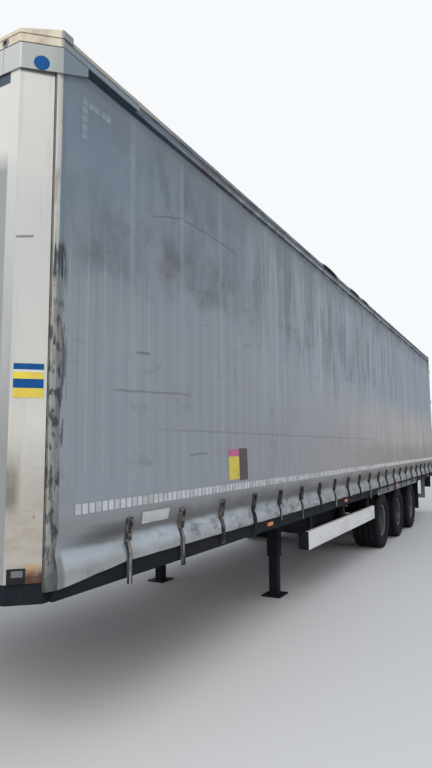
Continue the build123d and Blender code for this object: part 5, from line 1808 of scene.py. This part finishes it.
@dataclass
class RearLenses:
    """The coloured lenses on the rear lamp housings."""

    shop: Workshop
    low_z: float = 0.790
    high_z: float = 0.890
    depth: float = 0.010
    gap: float = 0.004
    fields: tuple[tuple[float, float, Finish], ...] = (
        # inner y, outer y, finish
        (0.800, 0.890, RED_LENS),
        (0.890, 0.960, CLEAR_LENS),
        (0.960, 1.060, RED_LENS),
        (1.060, 1.150, AMBER_LENS),
    )

    def build(self) -> None:
        """Set the row of lenses on both housings."""
        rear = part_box("rear_lamps")[1].x
        finishes = [RED_LENS, CLEAR_LENS, AMBER_LENS]
        mesh = bmesh.new()
        for side in Side:
            for inner, outer, finish in self.fields:
                middle = Vector((rear, side.value * (inner + outer) / 2, (self.low_z + self.high_z) / 2))
                size = (self.depth, outer - inner - self.gap, self.high_z - self.low_z)
                made = add_block(mesh, Matrix.Translation(middle), size)
                paint(made, finishes.index(finish))
                soften(mesh, made, 0.003, 2)
        self.shop.finish_piece(mesh, "rear_lenses", finishes, "plastic", smooth=False)


@dataclass
class Studio:
    """The pale floor, the soft lights and the camera at the photograph's angle."""

    position: tuple[float, float, float] = (-8.843, -3.394, 1.683)
    yaw: float = 28.68
    pitch: float = 6.33
    roll: float = -0.37
    focal_pixels: float = 562.7
    long_side_pixels: float = 768.0
    sensor: float = 36.0
    far_clip: float = 200.0
    floor_reach: float = 60.0
    lamp_place: tuple[float, float, float] = (-17.5, -4.2, 10.0)
    lamp_aim: tuple[float, float, float] = (-2.0, -1.0, 2.0)
    lamp_energy: float = 1250.0
    lamp_size: float = 9.0

    def build_camera(self) -> None:
        """Create the camera and make it the scene's own."""
        yaw, pitch, roll = (math.radians(v) for v in (self.yaw, self.pitch, self.roll))
        ahead = Vector((math.cos(yaw) * math.cos(pitch), math.sin(yaw) * math.cos(pitch), math.sin(pitch)))
        right = ahead.cross(Vector((0, 0, 1))).normalized()
        up = right.cross(ahead)
        rolled_right = math.cos(roll) * right + math.sin(roll) * up
        rolled_up = math.cos(roll) * up - math.sin(roll) * right
        data = bpy.data.cameras.new("photo_camera")
        data.sensor_width = self.sensor
        data.sensor_fit = "AUTO"
        data.lens = self.focal_pixels / self.long_side_pixels * self.sensor
        data.clip_end = self.far_clip
        camera = bpy.data.objects.new("photo_camera", data)
        turn = Matrix((rolled_right, rolled_up, -ahead)).transposed().to_4x4()
        camera.matrix_world = Matrix.Translation(self.position) @ turn
        bpy.context.scene.collection.objects.link(camera)
        bpy.context.scene.camera = camera

    def build_floor(self) -> None:
        """Lay the plain pale floor."""
        mesh = bmesh.new()
        bmesh.ops.create_grid(mesh, x_segments=1, y_segments=1, size=self.floor_reach)
        data = bpy.data.meshes.new("floor")
        mesh.to_mesh(data)
        mesh.free()
        material = bpy.data.materials.new("pale_floor")
        material.use_nodes = True
        shader = shader_of(material.node_tree, "BSDF_PRINCIPLED")
        shader.inputs["Base Color"].default_value = (0.72, 0.71, 0.70, 1.0)
        shader.inputs["Roughness"].default_value = 0.9
        data.materials.append(material)
        floor = bpy.data.objects.new("floor", data)
        floor.location.z = -0.001
        bpy.context.scene.collection.objects.link(floor)

    def build_light(self) -> None:
        """Set the soft sky and one large lamp ahead of the left corner."""
        world = bpy.data.worlds.new("pale_sky")
        world.use_nodes = True
        kit = NodeKit(world.node_tree)
        sky = shader_of(kit.tree, "BACKGROUND")
        path = kit.add("LightPath")
        seen = kit.maths("MAXIMUM", path.outputs["Is Camera Ray"], path.outputs["Is Glossy Ray"])
        seen = kit.maths("MAXIMUM", seen, path.outputs["Is Transmission Ray"])
        kit.fill(sky.inputs["Color"], kit.blend(seen, (0.86, 0.92, 1.0, 1.0), (0.93, 0.95, 0.97, 1.0)))
        kit.fill(sky.inputs["Strength"], kit.maths("MULTIPLY_ADD", seen, 0.25, 0.75))
        bpy.context.scene.world = world
        lamp = bpy.data.lights.new("soft_lamp", "AREA")
        lamp.energy = self.lamp_energy
        lamp.size = self.lamp_size
        lamp.color = (1.0, 0.98, 0.95)
        holder = bpy.data.objects.new("soft_lamp", lamp)
        place = Vector(self.lamp_place)
        holder.matrix_world = facing(place, Vector(self.lamp_aim) - place, "-Z")
        bpy.context.scene.collection.objects.link(holder)

    def build(self) -> None:
        """Set up floor, light, camera and the view transform."""
        self.build_floor()
        self.build_light()
        self.build_camera()
        bpy.context.scene.view_settings.view_transform = "Standard"


def main() -> None:
    """Build every piece in order."""
    logging.basicConfig(level=logging.INFO, format="%(name)s: %(message)s")
    shop = Workshop()
    shop.dress_nodes()
    curtains = Curtains(shop)
    for side in Side:
        curtains.build_curtain(side)
        curtains.build_edge(side)
        curtains.build_marks(side)
    curtains.build_plates()
    straps = CurtainStraps(shop, curtains.shape)
    straps.build(Side.LEFT)
    right_straps = straps.build(Side.RIGHT)
    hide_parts("curtain_straps")
    RoofCloth(shop).build()
    wheels = Wheels(shop)
    for number in (1, 2, 3):
        for side in Side:
            wheels.build_tyre(number, side)
            wheels.build_rim(number, side)
    RoofCap(shop).build()
    front = FrontFittings(shop)
    front.build_badge()
    front.build_stickers()
    front.build_end_plates()
    front.build_lenses()
    RearLenses(shop).build()
    Studio().build()


if __name__ == "__main__":
    main()
